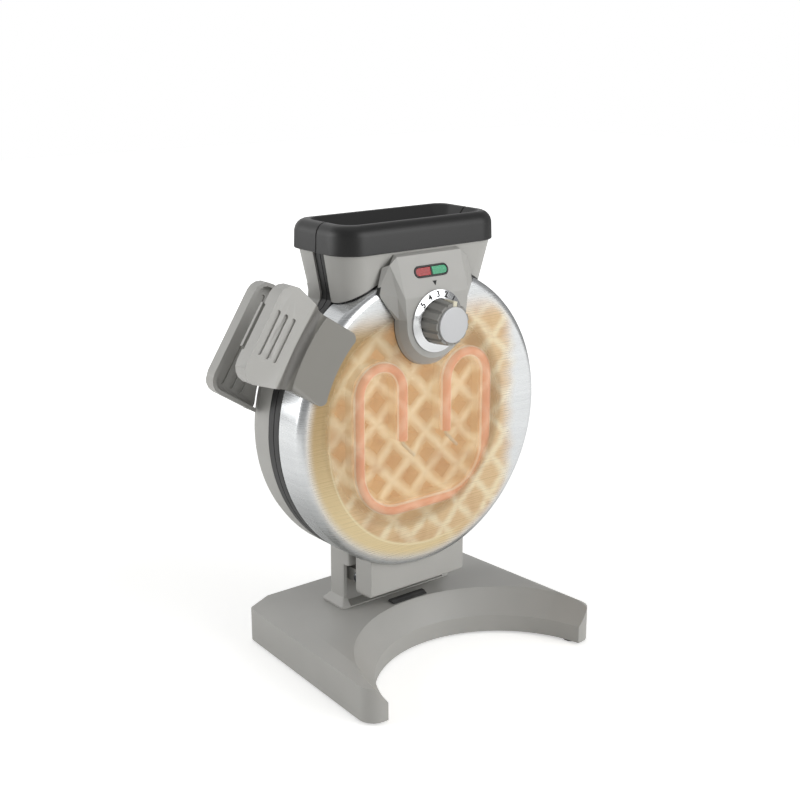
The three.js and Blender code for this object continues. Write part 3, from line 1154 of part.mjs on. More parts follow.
addPiece('thermostat_shaft', shaft, ZINC_STEEL);

// Collars: the two halves of the black batter funnel, split on the parting plane
const COLLAR_HALF_LENGTH = 79.3;
const COLLAR_TOP_HALF_LENGTH = 73;
const COLLAR_FRONT_Y = -41.7;
const COLLAR_REAR_Y = 38.8;
const COLLAR_TOP_FRONT_Y = -37.6;
const COLLAR_TOP_REAR_Y = 31;
const COLLAR_SHOULDER_SHARE = 0.82;
const COLLAR_WALL = 2.5;
const FUNNEL_HALF_LENGTH = 66;
const FUNNEL_HALF_WIDTH = 26.5;
const FUNNEL_CORNER = 11;
const THROAT_HALF_WIDTH = 7;
const THROAT_CORNER = 3;
const collarFoot = SPOUT_TOP + GAP;
const collarTop = SPOUT_TOP + COLLAR_HEIGHT;
const collarShoulder = THREE.MathUtils.lerp(collarFoot, collarTop, COLLAR_SHOULDER_SHARE);
const funnelMiddle = (COLLAR_TOP_FRONT_Y + COLLAR_TOP_REAR_Y) / 2;

function collarRing(share, inset, z) {
  const half = THREE.MathUtils.lerp(COLLAR_HALF_LENGTH, COLLAR_TOP_HALF_LENGTH, share) - inset;
  const front = THREE.MathUtils.lerp(COLLAR_FRONT_Y, COLLAR_TOP_FRONT_Y, share) + inset;
  const rear = THREE.MathUtils.lerp(COLLAR_REAR_Y, COLLAR_TOP_REAR_Y, share) - inset;
  const corner = SPOUT_CORNER - inset;
  return ringAt(roundedRect(half, (rear - front) / 2, corner, 0, (front + rear) / 2, CORNER_STEP), z);
}

function funnel(margin, overrun) {
  const mouth = roundedRect(FUNNEL_HALF_LENGTH + margin, FUNNEL_HALF_WIDTH + margin,
    FUNNEL_CORNER + margin, 0, funnelMiddle, CORNER_STEP);
  const throat = roundedRect(CHUTE_HALF_WIDTH + margin, THROAT_HALF_WIDTH + margin,
    THROAT_CORNER + margin, 0, 0, PLAIN_STEP);
  return union([
    [ringAt(mouth, collarTop), ringAt(throat, collarFoot)],
    [ringAt(throat, collarFoot + OVERRUN / 2), ringAt(throat, NECK_TOP + GAP - overrun)],
    [ringAt(mouth, collarTop - HALF_GAP), ringAt(mouth, collarTop + overrun)],
  ].map((rings) => solid(new ConvexGeometry(rings.flat()))));
}

const collarSkin = solid(new ConvexGeometry([
  ...collarRing(0, 0, collarFoot),
  ...collarRing(COLLAR_SHOULDER_SHARE, 0, collarShoulder),
  ...collarRing(1, COLLAR_WALL / 2, collarTop),
]));
const collarHollow = solid(new ConvexGeometry([
  ...collarRing(0, COLLAR_WALL, collarFoot - OVERRUN),
  ...collarRing(COLLAR_SHOULDER_SHARE, COLLAR_WALL, collarShoulder),
]));
const collar = collarSkin.subtract(collarHollow).add(funnel(COLLAR_WALL, 0)).subtract(funnel(0, OVERRUN));
addPiece('front_collar', collar.intersect(box(-FAR, FAR, -FAR, -HALF_GAP, 0, FAR)), BLACK_MOULDING);
addPiece('rear_collar', collar.intersect(box(-FAR, FAR, HALF_GAP, FAR, 0, FAR)), BLACK_MOULDING);

// Outline of a handle in its own line: an arc on the disc, straight root sides and a flared grip
const HANDLE_ROOT_HALF_WIDTH = 29.8;
const HANDLE_WAIST = 135;
const HANDLE_FLARE = 148;
const HANDLE_CORNER = 12;
const HANDLE_LIP = 3;
const HANDLE_TURN_STEPS = 60;

function handleOutline(reach, lowHalf, highHalf, inset) {
  const spread = Math.asin(HANDLE_ROOT_HALF_WIDTH / HANDLE_ROOT);
  const [low, high, end] = [lowHalf - inset, highHalf - inset, reach - inset];
  const corner = HANDLE_CORNER - inset;
  const root = HANDLE_ROOT_HALF_WIDTH - inset;
  return [
    ...arc(0, 0, HANDLE_ROOT, spread, -spread, FINE_STEP),
    ...vec([HANDLE_WAIST, -root], [Math.min(HANDLE_FLARE, end - corner), -low]),
    ...arc(end - corner, corner - low, corner, -QUARTER, 0, CORNER_STEP),
    ...arc(end - corner, high - corner, corner, 0, QUARTER, CORNER_STEP),
    ...vec([Math.min(HANDLE_FLARE, end - corner), high], [HANDLE_WAIST, root]),
  ];
}

// The outline's second coordinate runs up along the rim, which is against the drawn z axis
function handleSlab(outline, frontY, rearY) {
  return slabY(outline.map((p) => new THREE.Vector2(p.x, -p.y)), frontY, rearY);
}

// A ring about the disc axis, drawn at the origin
function handleRing(profile) {
  return turnedY(profile, 0, 0, HANDLE_TURN_STEPS);
}

// Front handle: a root on the steel, a groove, and a ridged grip with a lip turned back round its edges
const ROOT_FACE_Y = -39.5;
const GROOVE_FACE_Y = -37.5;
const GROOVE_START = 137.3;
const GROOVE_END = 147.8;
const GROOVE_SLOPE = 1.8;
const GRIP_FACE_Y = -41.5;
const GRIP_END_Y = -39.5;
const GRIP_LOW = 38.5;
const GRIP_HIGH = 37.5;
const LIP_BACK_Y = -26.4;
const LATCH_LIP_Y = -28.4;
const RIDGE_HALF_WIDTH = 1.5;
const RIDGE_PROUD = 1;
const RIDGE_COUNT = 3;
const FRONT_RIDGE_START = 160.3;
const FRONT_RIDGE_PITCH = 7;
const FRONT_RIDGE_LOW = -18;
const FRONT_RIDGE_HIGH = 16.5;
const rootSeat = -COVER_DEPTH - GAP;
const rimClear = DISC_RADIUS + GAP;

function gripFront(reach, offset) {
  return vec([HANDLE_ROOT - OVERRUN, ROOT_FACE_Y + offset], [GROOVE_START, ROOT_FACE_Y + offset],
    [GROOVE_START + GROOVE_SLOPE, GROOVE_FACE_Y + offset],
    [GROOVE_END - GROOVE_SLOPE, GROOVE_FACE_Y + offset], [GROOVE_END, GRIP_FACE_Y + offset],
    [reach, GRIP_END_Y + offset]);
}

const frontProfile = gripFront(FRONT_HANDLE_REACH + OVERRUN, 0);
let frontHandle = handleRing([...frontProfile, ...vec([FRONT_HANDLE_REACH + OVERRUN, LIP_BACK_Y],
  [HANDLE_ROOT - OVERRUN, LIP_BACK_Y]), frontProfile[0]])
  .intersect(handleSlab(handleOutline(FRONT_HANDLE_REACH, GRIP_LOW, GRIP_HIGH, 0), -FAR, FAR));
const trayFace = gripFront(FRONT_HANDLE_REACH + OVERRUN, HANDLE_WALL);
const trayBack = vec([FRONT_HANDLE_REACH + OVERRUN, 0], [HANDLE_ROOT - OVERRUN, 0]);
const tray = handleRing([...trayFace, ...trayBack, trayFace[0]])
  .intersect(handleSlab(handleOutline(FRONT_HANDLE_REACH, GRIP_LOW, GRIP_HIGH, HANDLE_LIP), -FAR, FAR))
  .intersect(box(rimClear, FAR, -FAR, FAR, -FAR, FAR));
const tabLow = -FRONT_RIDGE_HIGH - 2 * GAP;
const tabHigh = 2 * GAP - FRONT_RIDGE_LOW;
frontHandle = frontHandle
  .subtract(tray)
  .subtract(levelHole(0, 0, rimClear, rootSeat, FAR, HANDLE_TURN_STEPS))
  .subtract(box(GROOVE_END, FAR, LATCH_LIP_Y, FAR, tabLow, tabHigh));

// A straight ridge across the handle, with round ends
function ridge(place, low, high, frontY, rearY) {
  const middle = (low + high) / 2;
  const half = (high - low) / 2;
  const outline = roundedRect(RIDGE_HALF_WIDTH, half, RIDGE_HALF_WIDTH, place, middle, PLAIN_STEP);
  return handleSlab(outline, frontY, rearY);
}

for (let i = 0; i < RIDGE_COUNT; i += 1) {
  const place = FRONT_RIDGE_START + i * FRONT_RIDGE_PITCH;
  const share = (place - GROOVE_END) / (FRONT_HANDLE_REACH + OVERRUN - GROOVE_END);
  const face = THREE.MathUtils.lerp(GRIP_FACE_Y, GRIP_END_Y, share);
  const [front, rear] = [face - RIDGE_PROUD, face + RIDGE_PROUD];
  frontHandle = frontHandle.add(ridge(place, FRONT_RIDGE_LOW, FRONT_RIDGE_HIGH, front, rear));
}

// Latch: a lever behind the grip, pressed forwards at its tab, with a hook that reaches to the keeper
const LATCH_PIVOT = 146;
const LATCH_PIVOT_Y = -30.6;
const LATCH_PIN_RADIUS = 1.5;
const LATCH_BOSS_RADIUS = 3.2;
const LATCH_HALF_WIDTH = 9;
const LATCH_THICKNESS = 2.2;
const LATCH_TAB_START = 172.8;
const LATCH_TAB_END = 175.6;
const LATCH_TAB_BACK_Y = -23;
const HOOK_START = 131;
const HOOK_END = 134;
const HOOK_BACK_Y = 8;
const HOOK_NOSE = 2.9;
const HOOK_NOSE_Y = 5;
const HOOK_CLEARANCE = 1;
const LUG_INNER = 10;
const LUG_OUTER = 13;
const leverFront = LATCH_PIVOT_Y - LATCH_THICKNESS / 2;
const leverBack = LATCH_PIVOT_Y + LATCH_THICKNESS / 2;
const noseTip = DISC_RADIUS + KEEPER_REACH + HOOK_CLEARANCE;

// A round bar along the handle's width, through its pivot
function acrossHandle(radius, from, to, steps = PIN_SIDES) {
  const geometry = new THREE.LatheGeometry(vec([0, from], [radius, from], [radius, to], [0, to]), steps);
  return solid(geometry.rotateX(Math.PI / 2).translate(LATCH_PIVOT, LATCH_PIVOT_Y, 0));
}

let latch = union([
  box(HOOK_START, LATCH_TAB_END, leverFront, leverBack, -LATCH_HALF_WIDTH, LATCH_HALF_WIDTH),
  acrossHandle(LATCH_BOSS_RADIUS, -LATCH_HALF_WIDTH, LATCH_HALF_WIDTH),
  box(LATCH_TAB_START, LATCH_TAB_END, leverFront, LATCH_TAB_BACK_Y, -FRONT_RIDGE_HIGH, -FRONT_RIDGE_LOW),
  box(HOOK_START, HOOK_END, leverFront, HOOK_BACK_Y, -LATCH_HALF_WIDTH, LATCH_HALF_WIDTH),
  slabZ(vec([HOOK_END, HOOK_NOSE_Y], [HOOK_END, HOOK_BACK_Y], [HOOK_START, HOOK_BACK_Y + HOOK_NOSE / 2],
    [noseTip, HOOK_BACK_Y], [noseTip, HOOK_NOSE_Y]), -LATCH_HALF_WIDTH, LATCH_HALF_WIDTH),
]);
latch = latch.subtract(acrossHandle(LATCH_PIN_RADIUS + GAP, -FAR, FAR));
addPiece('latch', toHandle(latch), GREY_MOULDING);
addPiece('latch_pin', toHandle(acrossHandle(LATCH_PIN_RADIUS, -LUG_OUTER, LUG_OUTER)), ZINC_STEEL);
for (const side of [-1, 1]) {
  const near = Math.min(side * LUG_INNER, side * LUG_OUTER);
  const far = Math.max(side * LUG_INNER, side * LUG_OUTER);
  const web = box(LATCH_PIVOT - LATCH_BOSS_RADIUS, LATCH_PIVOT + LATCH_BOSS_RADIUS,
    GROOVE_FACE_Y + HANDLE_WALL / 2, LATCH_PIVOT_Y, near, far);
  frontHandle = frontHandle.add(web).add(acrossHandle(LATCH_BOSS_RADIUS, near, far));
}
frontHandle = frontHandle.subtract(acrossHandle(LATCH_PIN_RADIUS + GAP, -FAR, FAR));
frontHandle = toHandle(frontHandle);

// Rear handle: a root on the rear cover stepping forward to a ridged plate with a lip turned forward
const REAR_ROOT_FACE_Y = 39;
const REAR_PLATE_FRONT_Y = 28;
const REAR_PLATE_BACK_Y = 31.3;
const REAR_LIP_FRONT_Y = 21;
const REAR_GRIP_LOW = 52;
const REAR_GRIP_HIGH = 39.7;
const REAR_RIDGE_START = 128.5;
const REAR_RIDGE_PITCH = 9;
const REAR_RIDGE_LOW = -44;
const REAR_RIDGE_HIGH = 30;
const rearStep = DISC_RADIUS + HANDLE_WALL;
const rearEnd = REAR_HANDLE_REACH + OVERRUN;
const rearStart = HANDLE_ROOT - OVERRUN;
const rearRing = handleRing(vec([rearStart, COVER_DEPTH + GAP], [rimClear, COVER_DEPTH + GAP],
  [rimClear, REAR_PLATE_FRONT_Y], [rearEnd, REAR_PLATE_FRONT_Y], [rearEnd, REAR_PLATE_BACK_Y],
  [rearStep, REAR_PLATE_BACK_Y], [rearStep, REAR_ROOT_FACE_Y], [rearStart, REAR_ROOT_FACE_Y],
  [rearStart, COVER_DEPTH + GAP]));

function rearOutline(inset) {
  const corner = HANDLE_CORNER - inset;
  const [low, high, end] = [REAR_GRIP_LOW - inset, REAR_GRIP_HIGH - inset, REAR_HANDLE_REACH - inset];
  const spread = Math.asin(HANDLE_ROOT_HALF_WIDTH / HANDLE_ROOT);
  return [
    ...arc(0, 0, HANDLE_ROOT, spread, -spread, FINE_STEP),
    ...vec([rearStep - HANDLE_CORNER, -HANDLE_ROOT_HALF_WIDTH], [rearStep - HANDLE_CORNER, -low]),
    ...arc(end - corner, corner - low, corner, -QUARTER, 0, CORNER_STEP),
    ...arc(end - corner, high - corner, corner, 0, QUARTER, CORNER_STEP),
    ...vec([rearStep - HANDLE_CORNER, high], [rearStep - HANDLE_CORNER, HANDLE_ROOT_HALF_WIDTH]),
  ];
}

const rearLip = handleSlab(rearOutline(0), REAR_LIP_FRONT_Y, REAR_PLATE_FRONT_Y + GAP)
  .subtract(handleSlab(rearOutline(HANDLE_LIP), -FAR, FAR))
  .subtract(levelHole(0, 0, rearStep, -FAR, FAR, HANDLE_TURN_STEPS));
let rearHandle = rearRing.intersect(handleSlab(rearOutline(0), -FAR, FAR)).add(rearLip);
for (let i = 0; i < RIDGE_COUNT; i += 1) {
  const place = REAR_RIDGE_START + i * REAR_RIDGE_PITCH;
  const [front, rear] = [REAR_PLATE_FRONT_Y - RIDGE_PROUD, REAR_PLATE_FRONT_Y + RIDGE_PROUD];
  rearHandle = rearHandle.add(ridge(place, REAR_RIDGE_LOW, REAR_RIDGE_HIGH, front, rear));
}
rearHandle = toHandle(rearHandle);

// Screws from inside the covers into the roots of the two handles
const HANDLE_SCREW_BITE = 3.4;
const frontScrewSeat = STEEL_WALL + GAP - COVER_DEPTH;
const frontScrewTip = rootSeat - HANDLE_SCREW_BITE;
frontHandleScrews.forEach((place, i) => {
  const screw = levelScrew(place.x, place.y, frontScrewSeat, frontScrewTip);
  addPiece(`front_handle_screw_${i + 1}`, screw, ZINC_STEEL);
  const hole = levelHole(place.x, place.y, SCREW_RADIUS + GAP, frontScrewTip - GAP, 0);
  frontHandle = frontHandle.subtract(hole);
});
const rearScrewSeat = COVER_DEPTH - PLASTIC_WALL - 2 * GAP;
const rearScrewTip = COVER_DEPTH + GAP + HANDLE_SCREW_BITE;
rearHandleScrews.forEach((place, i) => {
  const screw = levelScrew(place.x, place.y, rearScrewSeat, rearScrewTip);
  addPiece(`rear_handle_screw_${i + 1}`, screw, ZINC_STEEL);
  const hole = levelHole(place.x, place.y, SCREW_RADIUS + GAP, 0, rearScrewTip + GAP);
  rearHandle = rearHandle.subtract(hole);
});
addPiece('front_handle', frontHandle, GREY_MOULDING);
addPiece('rear_handle', rearHandle, GREY_MOULDING);

// The origin goes to the middle of the footprint, on the surface that the feet stand on
const extent = new THREE.Box3().setFromObject(assembly);
const middle = extent.getCenter(new THREE.Vector3());
assembly.position.set(-middle.x, -middle.y, -extent.min.z);
assembly.updateMatrixWorld(true);

export default assembly;
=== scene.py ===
"""An upright waffle maker: steel and grey mouldings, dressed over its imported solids."""
import json
from math import asin, atan2, cos, hypot, pi, radians, sin, tau

import bmesh
import bpy
from mathutils import Matrix, Vector

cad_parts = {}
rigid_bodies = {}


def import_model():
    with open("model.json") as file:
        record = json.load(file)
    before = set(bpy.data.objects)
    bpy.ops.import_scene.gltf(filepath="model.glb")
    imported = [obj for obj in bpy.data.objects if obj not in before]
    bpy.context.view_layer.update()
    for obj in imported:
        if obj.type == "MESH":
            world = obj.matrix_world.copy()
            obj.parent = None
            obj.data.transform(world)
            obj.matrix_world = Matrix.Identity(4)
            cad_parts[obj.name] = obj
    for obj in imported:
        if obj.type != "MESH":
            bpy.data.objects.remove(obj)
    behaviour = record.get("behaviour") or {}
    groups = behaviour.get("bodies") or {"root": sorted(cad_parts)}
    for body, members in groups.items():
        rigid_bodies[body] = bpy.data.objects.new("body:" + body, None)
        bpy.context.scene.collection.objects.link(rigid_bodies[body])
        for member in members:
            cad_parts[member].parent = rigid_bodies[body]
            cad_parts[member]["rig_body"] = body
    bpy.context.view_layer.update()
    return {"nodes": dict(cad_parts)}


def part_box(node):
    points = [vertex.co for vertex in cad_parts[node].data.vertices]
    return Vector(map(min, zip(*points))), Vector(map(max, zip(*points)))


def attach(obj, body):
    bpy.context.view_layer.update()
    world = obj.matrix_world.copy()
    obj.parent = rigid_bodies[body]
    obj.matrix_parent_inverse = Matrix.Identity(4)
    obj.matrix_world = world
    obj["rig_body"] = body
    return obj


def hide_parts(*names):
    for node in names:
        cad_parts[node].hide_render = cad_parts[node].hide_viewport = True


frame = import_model()
solids = frame["nodes"]
link = bpy.context.scene.collection.objects.link
MM = 0.001


# Plinth
# The plinth is one thick-walled ABS moulding, spark-eroded to a fine satin grain, with soft tool radii on
# every edge. It spreads in two legs round an arch that takes the folded front half.

def linear(colour):
    """sRGB hex to the linear values that Blender works in"""
    shares = [int(colour[i:i + 2], 16) / 255 for i in (1, 3, 5)]
    return [s / 12.92 if s <= 0.04045 else ((s + 0.055) / 1.055) ** 2.4 for s in shares] + [1.0]


COLOURS = {"data_type": "RGBA"}


def add(tree, kind, settings, **inputs):
    """One shader node: its operation or settings, and its inputs as values, hex colours or feeding outputs"""
    node = tree.nodes.new("ShaderNode" + kind)
    if isinstance(settings, str):
        settings = {"operation": settings}
    for name, value in settings.items():
        setattr(node, name, value)
    for name, value in inputs.items():
        socket = node.inputs[int(name[1:]) if name[1:].isdigit() else name.replace("_", " ")]
        if isinstance(value, bpy.types.NodeSocket):
            tree.links.new(value, socket)
        else:
            socket.default_value = linear(value) if isinstance(value, str) else value
    return node.outputs


def start(name, **sockets):
    """A new material with its constants set on the shader's own sockets"""
    material = bpy.data.materials.new(name)
    material.use_nodes = True
    shader = material.node_tree.nodes["Principled BSDF"]
    for socket, value in sockets.items():
        shader.inputs[socket.replace("_", " ")].default_value = value
    return material, material.node_tree, shader


def feed(tree, shader, **links):
    """Links outputs to the shader's sockets"""
    for socket, output in links.items():
        tree.links.new(output, shader.inputs[socket.replace("_", " ")])


def moulded_abs(name, colour, shade, over=None):
    """Injection-moulded ABS: even colour with faint flow clouds, and a spark-eroded grain that dulls the gloss"""
    material, tree, shader = start(name, IOR=1.54)
    place = add(tree, "TexCoord", {})["Object"]
    # The real grain is about 0.1 mm. It is drawn at 0.7 mm so that it shows.
    grain = add(tree, "TexNoise", {}, Vector=place, Scale=1 / (0.7 * MM), Detail=3.0, Roughness=0.6)["Fac"]
    clouds = add(tree, "TexNoise", {}, Vector=place, Scale=1 / (45 * MM), Detail=2.0)["Fac"]
    mix = add(tree, "MapRange", {}, Value=clouds, From_Min=0.3, From_Max=0.7)["Result"]
    tint = add(tree, "Mix", COLOURS, Factor=mix, _6=colour, _7=shade)[2]
    if over:
        tint = over(tree, tint)
    dull = add(tree, "MapRange", {}, Value=grain, From_Min=0.25, From_Max=0.75, To_Min=0.36, To_Max=0.5)["Result"]
    bump = add(tree, "Bump", {}, Strength=0.12, Distance=0.06 * MM, Height=grain)["Normal"]
    feed(tree, shader, Base_Color=tint, Roughness=dull, Normal=bump)
    return material


def placed(name, shape):
    """Puts a body into the scene as an object"""
    mesh = bpy.data.meshes.new(name)
    shape.to_mesh(mesh)
    shape.free()
    piece = bpy.data.objects.new(name, mesh)
    link(piece)
    return piece


def settle(name, shape, material, node):
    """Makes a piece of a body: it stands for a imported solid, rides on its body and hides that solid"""
    piece = placed(name, shape)
    piece.data.shade_smooth()
    piece.data.set_sharp_from_angle(angle=radians(35))
    piece.data.materials.append(material)
    weigh = piece.modifiers.new("even_faces", "WEIGHTED_NORMAL")
    weigh.keep_sharp = True
    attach(piece, solids[node]["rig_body"])
    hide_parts(node)
    return piece


SAME = 0.02 * MM


def finer(shape, centre, axis):
    """Splits the chords of arcs round an axis in four, and sets the new points on the arc"""
    first, second = [i for i in range(3) if i != axis]

    def polar(point):
        across, up = point[first] - centre[first], point[second] - centre[second]
        return hypot(across, up), atan2(up, across)

    radius = shape.verts.layers.float.new("radius")
    for vert in shape.verts:
        vert[radius] = polar(vert.co)[0]
    chords = []
    for edge in shape.edges:
        a, b = (vert.co for vert in edge.verts)
        (reach, bearing), (other_reach, other_bearing) = polar(a), polar(b)
        turn = abs((bearing - other_bearing + pi) % tau - pi)
        level = abs(a[axis] - b[axis]) < SAME and abs(reach - other_reach) < SAME
        if level and radians(3) < turn < radians(12) and reach > 60 * MM:
            chords.append(edge)
    split = bmesh.ops.subdivide_edges(shape, edges=chords, cuts=3, use_grid_fill=True)["geom_inner"]
    for vert in split:
        if isinstance(vert, bmesh.types.BMVert):
            wide = vert[radius] / polar(vert.co)[0]
            for i in (first, second):
                vert.co[i] = centre[i] + (vert.co[i] - centre[i]) * wide


def packed(node):
    """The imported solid's own shape"""
    shape = bmesh.new()
    shape.from_mesh(solids[node].data)
    return shape


def soften(shape, radius, turns=(), crease=26, weld=0.004):
    """Draws arcs finer and rounds edges sharper than a crease in degrees, by a radius in millimetres"""
    bmesh.ops.remove_doubles(shape, verts=shape.verts, dist=weld * MM)
    bmesh.ops.dissolve_limit(shape, angle_limit=radians(0.5), verts=shape.verts, edges=shape.edges)
    for centre, axis in turns:
        finer(shape, centre, axis)
    sharp = [e for e in shape.edges if e.is_manifold and e.calc_face_angle(0) > radians(crease)]
    bmesh.ops.bevel(shape, geom=sharp, offset=radius * MM, offset_type="OFFSET", segments=3, profile=0.5,
                    affect="EDGES", clamp_overlap=True)
    return shape


def rounded(node, name, material, radius, turns=(), crease=26):
    """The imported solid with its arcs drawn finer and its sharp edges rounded, in place of the solid"""
    return settle(name, soften(packed(node), radius, turns, crease), material, node)


def paint(material, *names):
    """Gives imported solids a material"""
    for name in names:
        solids[name].data.materials.clear()
        solids[name].data.materials.append(material)


DISC_RADIUS = 120
DISC_HEIGHT = 195
COVER_FACE_Y = -34.5
PIVOT_HEIGHT = 62
PIVOT_Y = -2.6
steel_low, steel_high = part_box("front_cover")
ORIGIN = Vector(((steel_low[0] + steel_high[0]) / 2, steel_low[1] - COVER_FACE_Y * MM, 0))


def at(x, y, z):
    """A place in millimetres from the disc's upright and the parting plane, above the table"""
    return ORIGIN + Vector((x, y, z)) * MM


DISC_TURN = (at(0, 0, DISC_HEIGHT), 1)
ARCH_TURN = (at(0, PIVOT_Y - DISC_HEIGHT + PIVOT_HEIGHT, 0), 2)
GREY = moulded_abs("moulded_grey_abs", "#b3b2ae", "#aeada9")
rounded("base_shell", "base_moulding", GREY, 0.9, [ARCH_TURN])

# Bottom plate
# A flat ABS plate that closes the plinth's underside, held by the screws of the feet.

rounded("base_cover", "base_bottom_plate", GREY, 0.3)


# Feet, pad and gland
# Pressed rubber: four rings under the plinth, the stepped bumper that the folded half meets, and the bush in
# the rear wall where a mains lead would leave.

def grained(name, colour, shade, grain, gloss, detail=2.0, relief=None, bloom=None, **sockets):
    """A finish whose grain, of a size in millimetres, mixes two colours and sets roughness and relief.

    Where there is a coarser bloom, it mixes the colours instead."""
    material, tree, shader = start(name, **sockets)
    place = add(tree, "TexCoord", {})["Object"]
    fleck = add(tree, "TexNoise", {}, Vector=place, Scale=1 / (grain * MM), Detail=detail)["Fac"]
    patch = fleck
    if bloom:
        patch = add(tree, "TexNoise", {}, Vector=place, Scale=1 / (bloom * MM), Detail=3.0)["Fac"]
    tint = add(tree, "Mix", COLOURS, Factor=patch, _6=colour, _7=shade)[2]
    dull = add(tree, "MapRange", {}, Value=fleck, To_Min=gloss[0], To_Max=gloss[1])["Result"]
    feed(tree, shader, Base_Color=tint, Roughness=dull)
    if relief:
        bump = add(tree, "Bump", {}, Strength=relief[0], Distance=relief[1] * MM, Height=fleck)["Normal"]
        feed(tree, shader, Normal=bump)
    return material


CORNERS = ("rear_left", "rear_right", "front_left", "front_right")
# Near black and matt, with a bloom of talc in its pores
RUBBER = grained("pressed_black_rubber", "#232323", "#4a4a49", 0.9, (0.7, 0.95), 4.0, (0.25, 0.08), 9, IOR=1.5)
for corner in CORNERS:
    rounded(f"foot_{corner}", f"rubber_foot_{corner}", RUBBER, 0.4)
rounded("stop_pad", "rubber_bumper", RUBBER, 0.5)
rounded("cord_gland", "rubber_gland", RUBBER, 0.4)


# Screws
# Zinc-plated pan-head screws with a cross recess. The four under the feet and the two at the ends of the hinge
# pin show, so they are turned and cut in full. The others sit inside the body.

def turned(profile, centre, steps, axis=(0, 1, 0)):
    """A body turned about an axis, from millimetres of radius and of place along it"""
    along = Vector(axis).normalized()
    side = along.orthogonal().normalized()
    up = along.cross(side)
    shape = bmesh.new()
    rings = []
    for radius, place in profile:
        middle = centre + along * (place * MM)
        rays = [side * cos(tau * i / steps) + up * sin(tau * i / steps) for i in range(steps if radius > 0 else 1)]
        rings.append([shape.verts.new(middle + ray * (radius * MM)) for ray in rays])
    for ring, following in zip(rings, rings[1:] + rings[:1]):
        for i in range(steps if len(ring) + len(following) > 2 else 0):
            corners = [ring[i % len(ring)], ring[(i + 1) % len(ring)], following[(i + 1) % len(following)],
                       following[i % len(following)]]
            shape.faces.new(list(dict.fromkeys(corners)))
    bmesh.ops.recalc_face_normals(shape, faces=shape.faces)
    return shape


def block(low, high):
    """An upright block between two corners, as a body to cut with"""
    shape = bmesh.new()
    middle = (Vector(low) + Vector(high)) / 2
    size = Vector(high) - Vector(low)
    bmesh.ops.create_cube(shape, size=1, matrix=Matrix.Translation(middle) @ Matrix.Diagonal((*size, 1)))
    return shape


def evaluated(piece):
    """The mesh that an object comes to, which takes the object's place"""
    bpy.context.view_layer.update()
    mesh = bpy.data.meshes.new_from_object(piece.evaluated_get(bpy.context.evaluated_depsgraph_get()))
    bpy.data.objects.remove(piece)
    return mesh


def combine(shape, *steps):
    """Unites a body with others, cuts them out of it or keeps what they share, one after another"""
    whole = placed("whole", shape)
    others = [(operation, placed("other", body)) for operation, bodies in steps for body in bodies]
    for operation, other in others:
        change = whole.modifiers.new("change", "BOOLEAN")
        change.operation = operation
        change.object = other
    mesh = evaluated(whole)
    for _, other in others:
        bpy.data.objects.remove(other)
    result = bmesh.new()
    result.from_mesh(mesh)
    bpy.data.meshes.remove(mesh)
    return result


HEAD_SHARES = [(1.0, 0.0), (1.0, 0.3), (0.96, 0.55), (0.86, 0.78), (0.7, 0.93), (0.45, 1.0), (0.0, 1.02)]


def pan_head_screw(node, axis, head, depth, shank):
    """A screw along an axis that points out of its head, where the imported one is. Sizes in millimetres."""
    low, high = (Vector(corner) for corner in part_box(node))
    axis = Vector(axis)
    middle = (low + high) / 2
    half = (high - low).dot(Vector([abs(a) for a in axis])) / 2 / MM
    face = half - depth
    profile = [(0, -half), (shank * 0.7, -half), (shank, -half + shank), (shank, face)]
    profile += [(head * share, face + depth * rise * 0.98) for share, rise in HEAD_SHARES]
    slots = []
    side = axis.orthogonal().normalized()
    for across in (side, axis.cross(side)):
        spread = across * head * 0.62 + axis.cross(across) * head * 0.13
        corners = [middle + (axis * half * 1.1 + spread) * MM, middle + (axis * (half - depth * 0.7) - spread) * MM]
        slots.append(block([min(c) for c in zip(*corners)], [max(c) for c in zip(*corners)]))
    settle(f"{node}_turned", combine(turned(profile, middle, 48, axis), ("DIFFERENCE", slots)), ZINC,
           node)


# Bright, with the fine scratches of a tumbled fastener
ZINC = grained("zinc_plated_steel", "#c2c4c6", "#8f9296", 1.2, (0.2, 0.42), 5.0, (0.1, 0.02), Metallic=1.0)
for corner in CORNERS:
    pan_head_screw(f"foot_screw_{corner}", (0, 0, -1), 3.2, 1.5, 1.7)
for end, out in (("left", -1), ("right", 1)):
    pan_head_screw(f"hinge_screw_{end}", (out, 0, 0), 5.0, 2.6, 1.4)
paint(ZINC, "hinge_pin", "latch_pin", "thermostat_shaft")
for place in ("pedestal", "rear_cover", "front_cover"):
    paint(ZINC, f"{place}_screw_left", f"{place}_screw_right")
for place, count in (("front_plate", 3), ("rear_plate", 3), ("front_handle", 2), ("rear_handle", 2)):
    paint(ZINC, *[f"{place}_screw_{i + 1}" for i in range(count)])

# Pedestal
# A tower of the same grey ABS stands on the plinth, screwed from below. Its skirt flares at the foot, and two
# ears in its front carry the hinge pin.

rounded("pedestal", "pedestal_moulding", GREY, 0.7, [DISC_TURN])

# Rings
# One ring of glass-filled PBT in each half holds its cast plate off the cover. The two edges show as a black
# double band between steel and grey.

# Black, with a satin skin. Its fibres of about 0.3 mm are drawn at 0.8 mm so that they show.
BLACK = grained("moulded_black_pbt", "#151515", "#1d1d1d", 0.8, (0.36, 0.5), 3.0, (0.1, 0.05), IOR=1.5)
for half in ("rear", "front"):
    rounded(f"{half}_frame", f"{half}_ring", BLACK, 0.6, [DISC_TURN])


# Grid plates
# Two aluminium castings. The cooking side has square posts and a baked-on non-stick coat. The back of the front
# plate is what shows golden through the cover, so it is coloured as a baked lattice, paler on its ridges and browner
# in its pockets, partly as painted shade, and given a painted glow.

PLATE_BACK_Y = 13


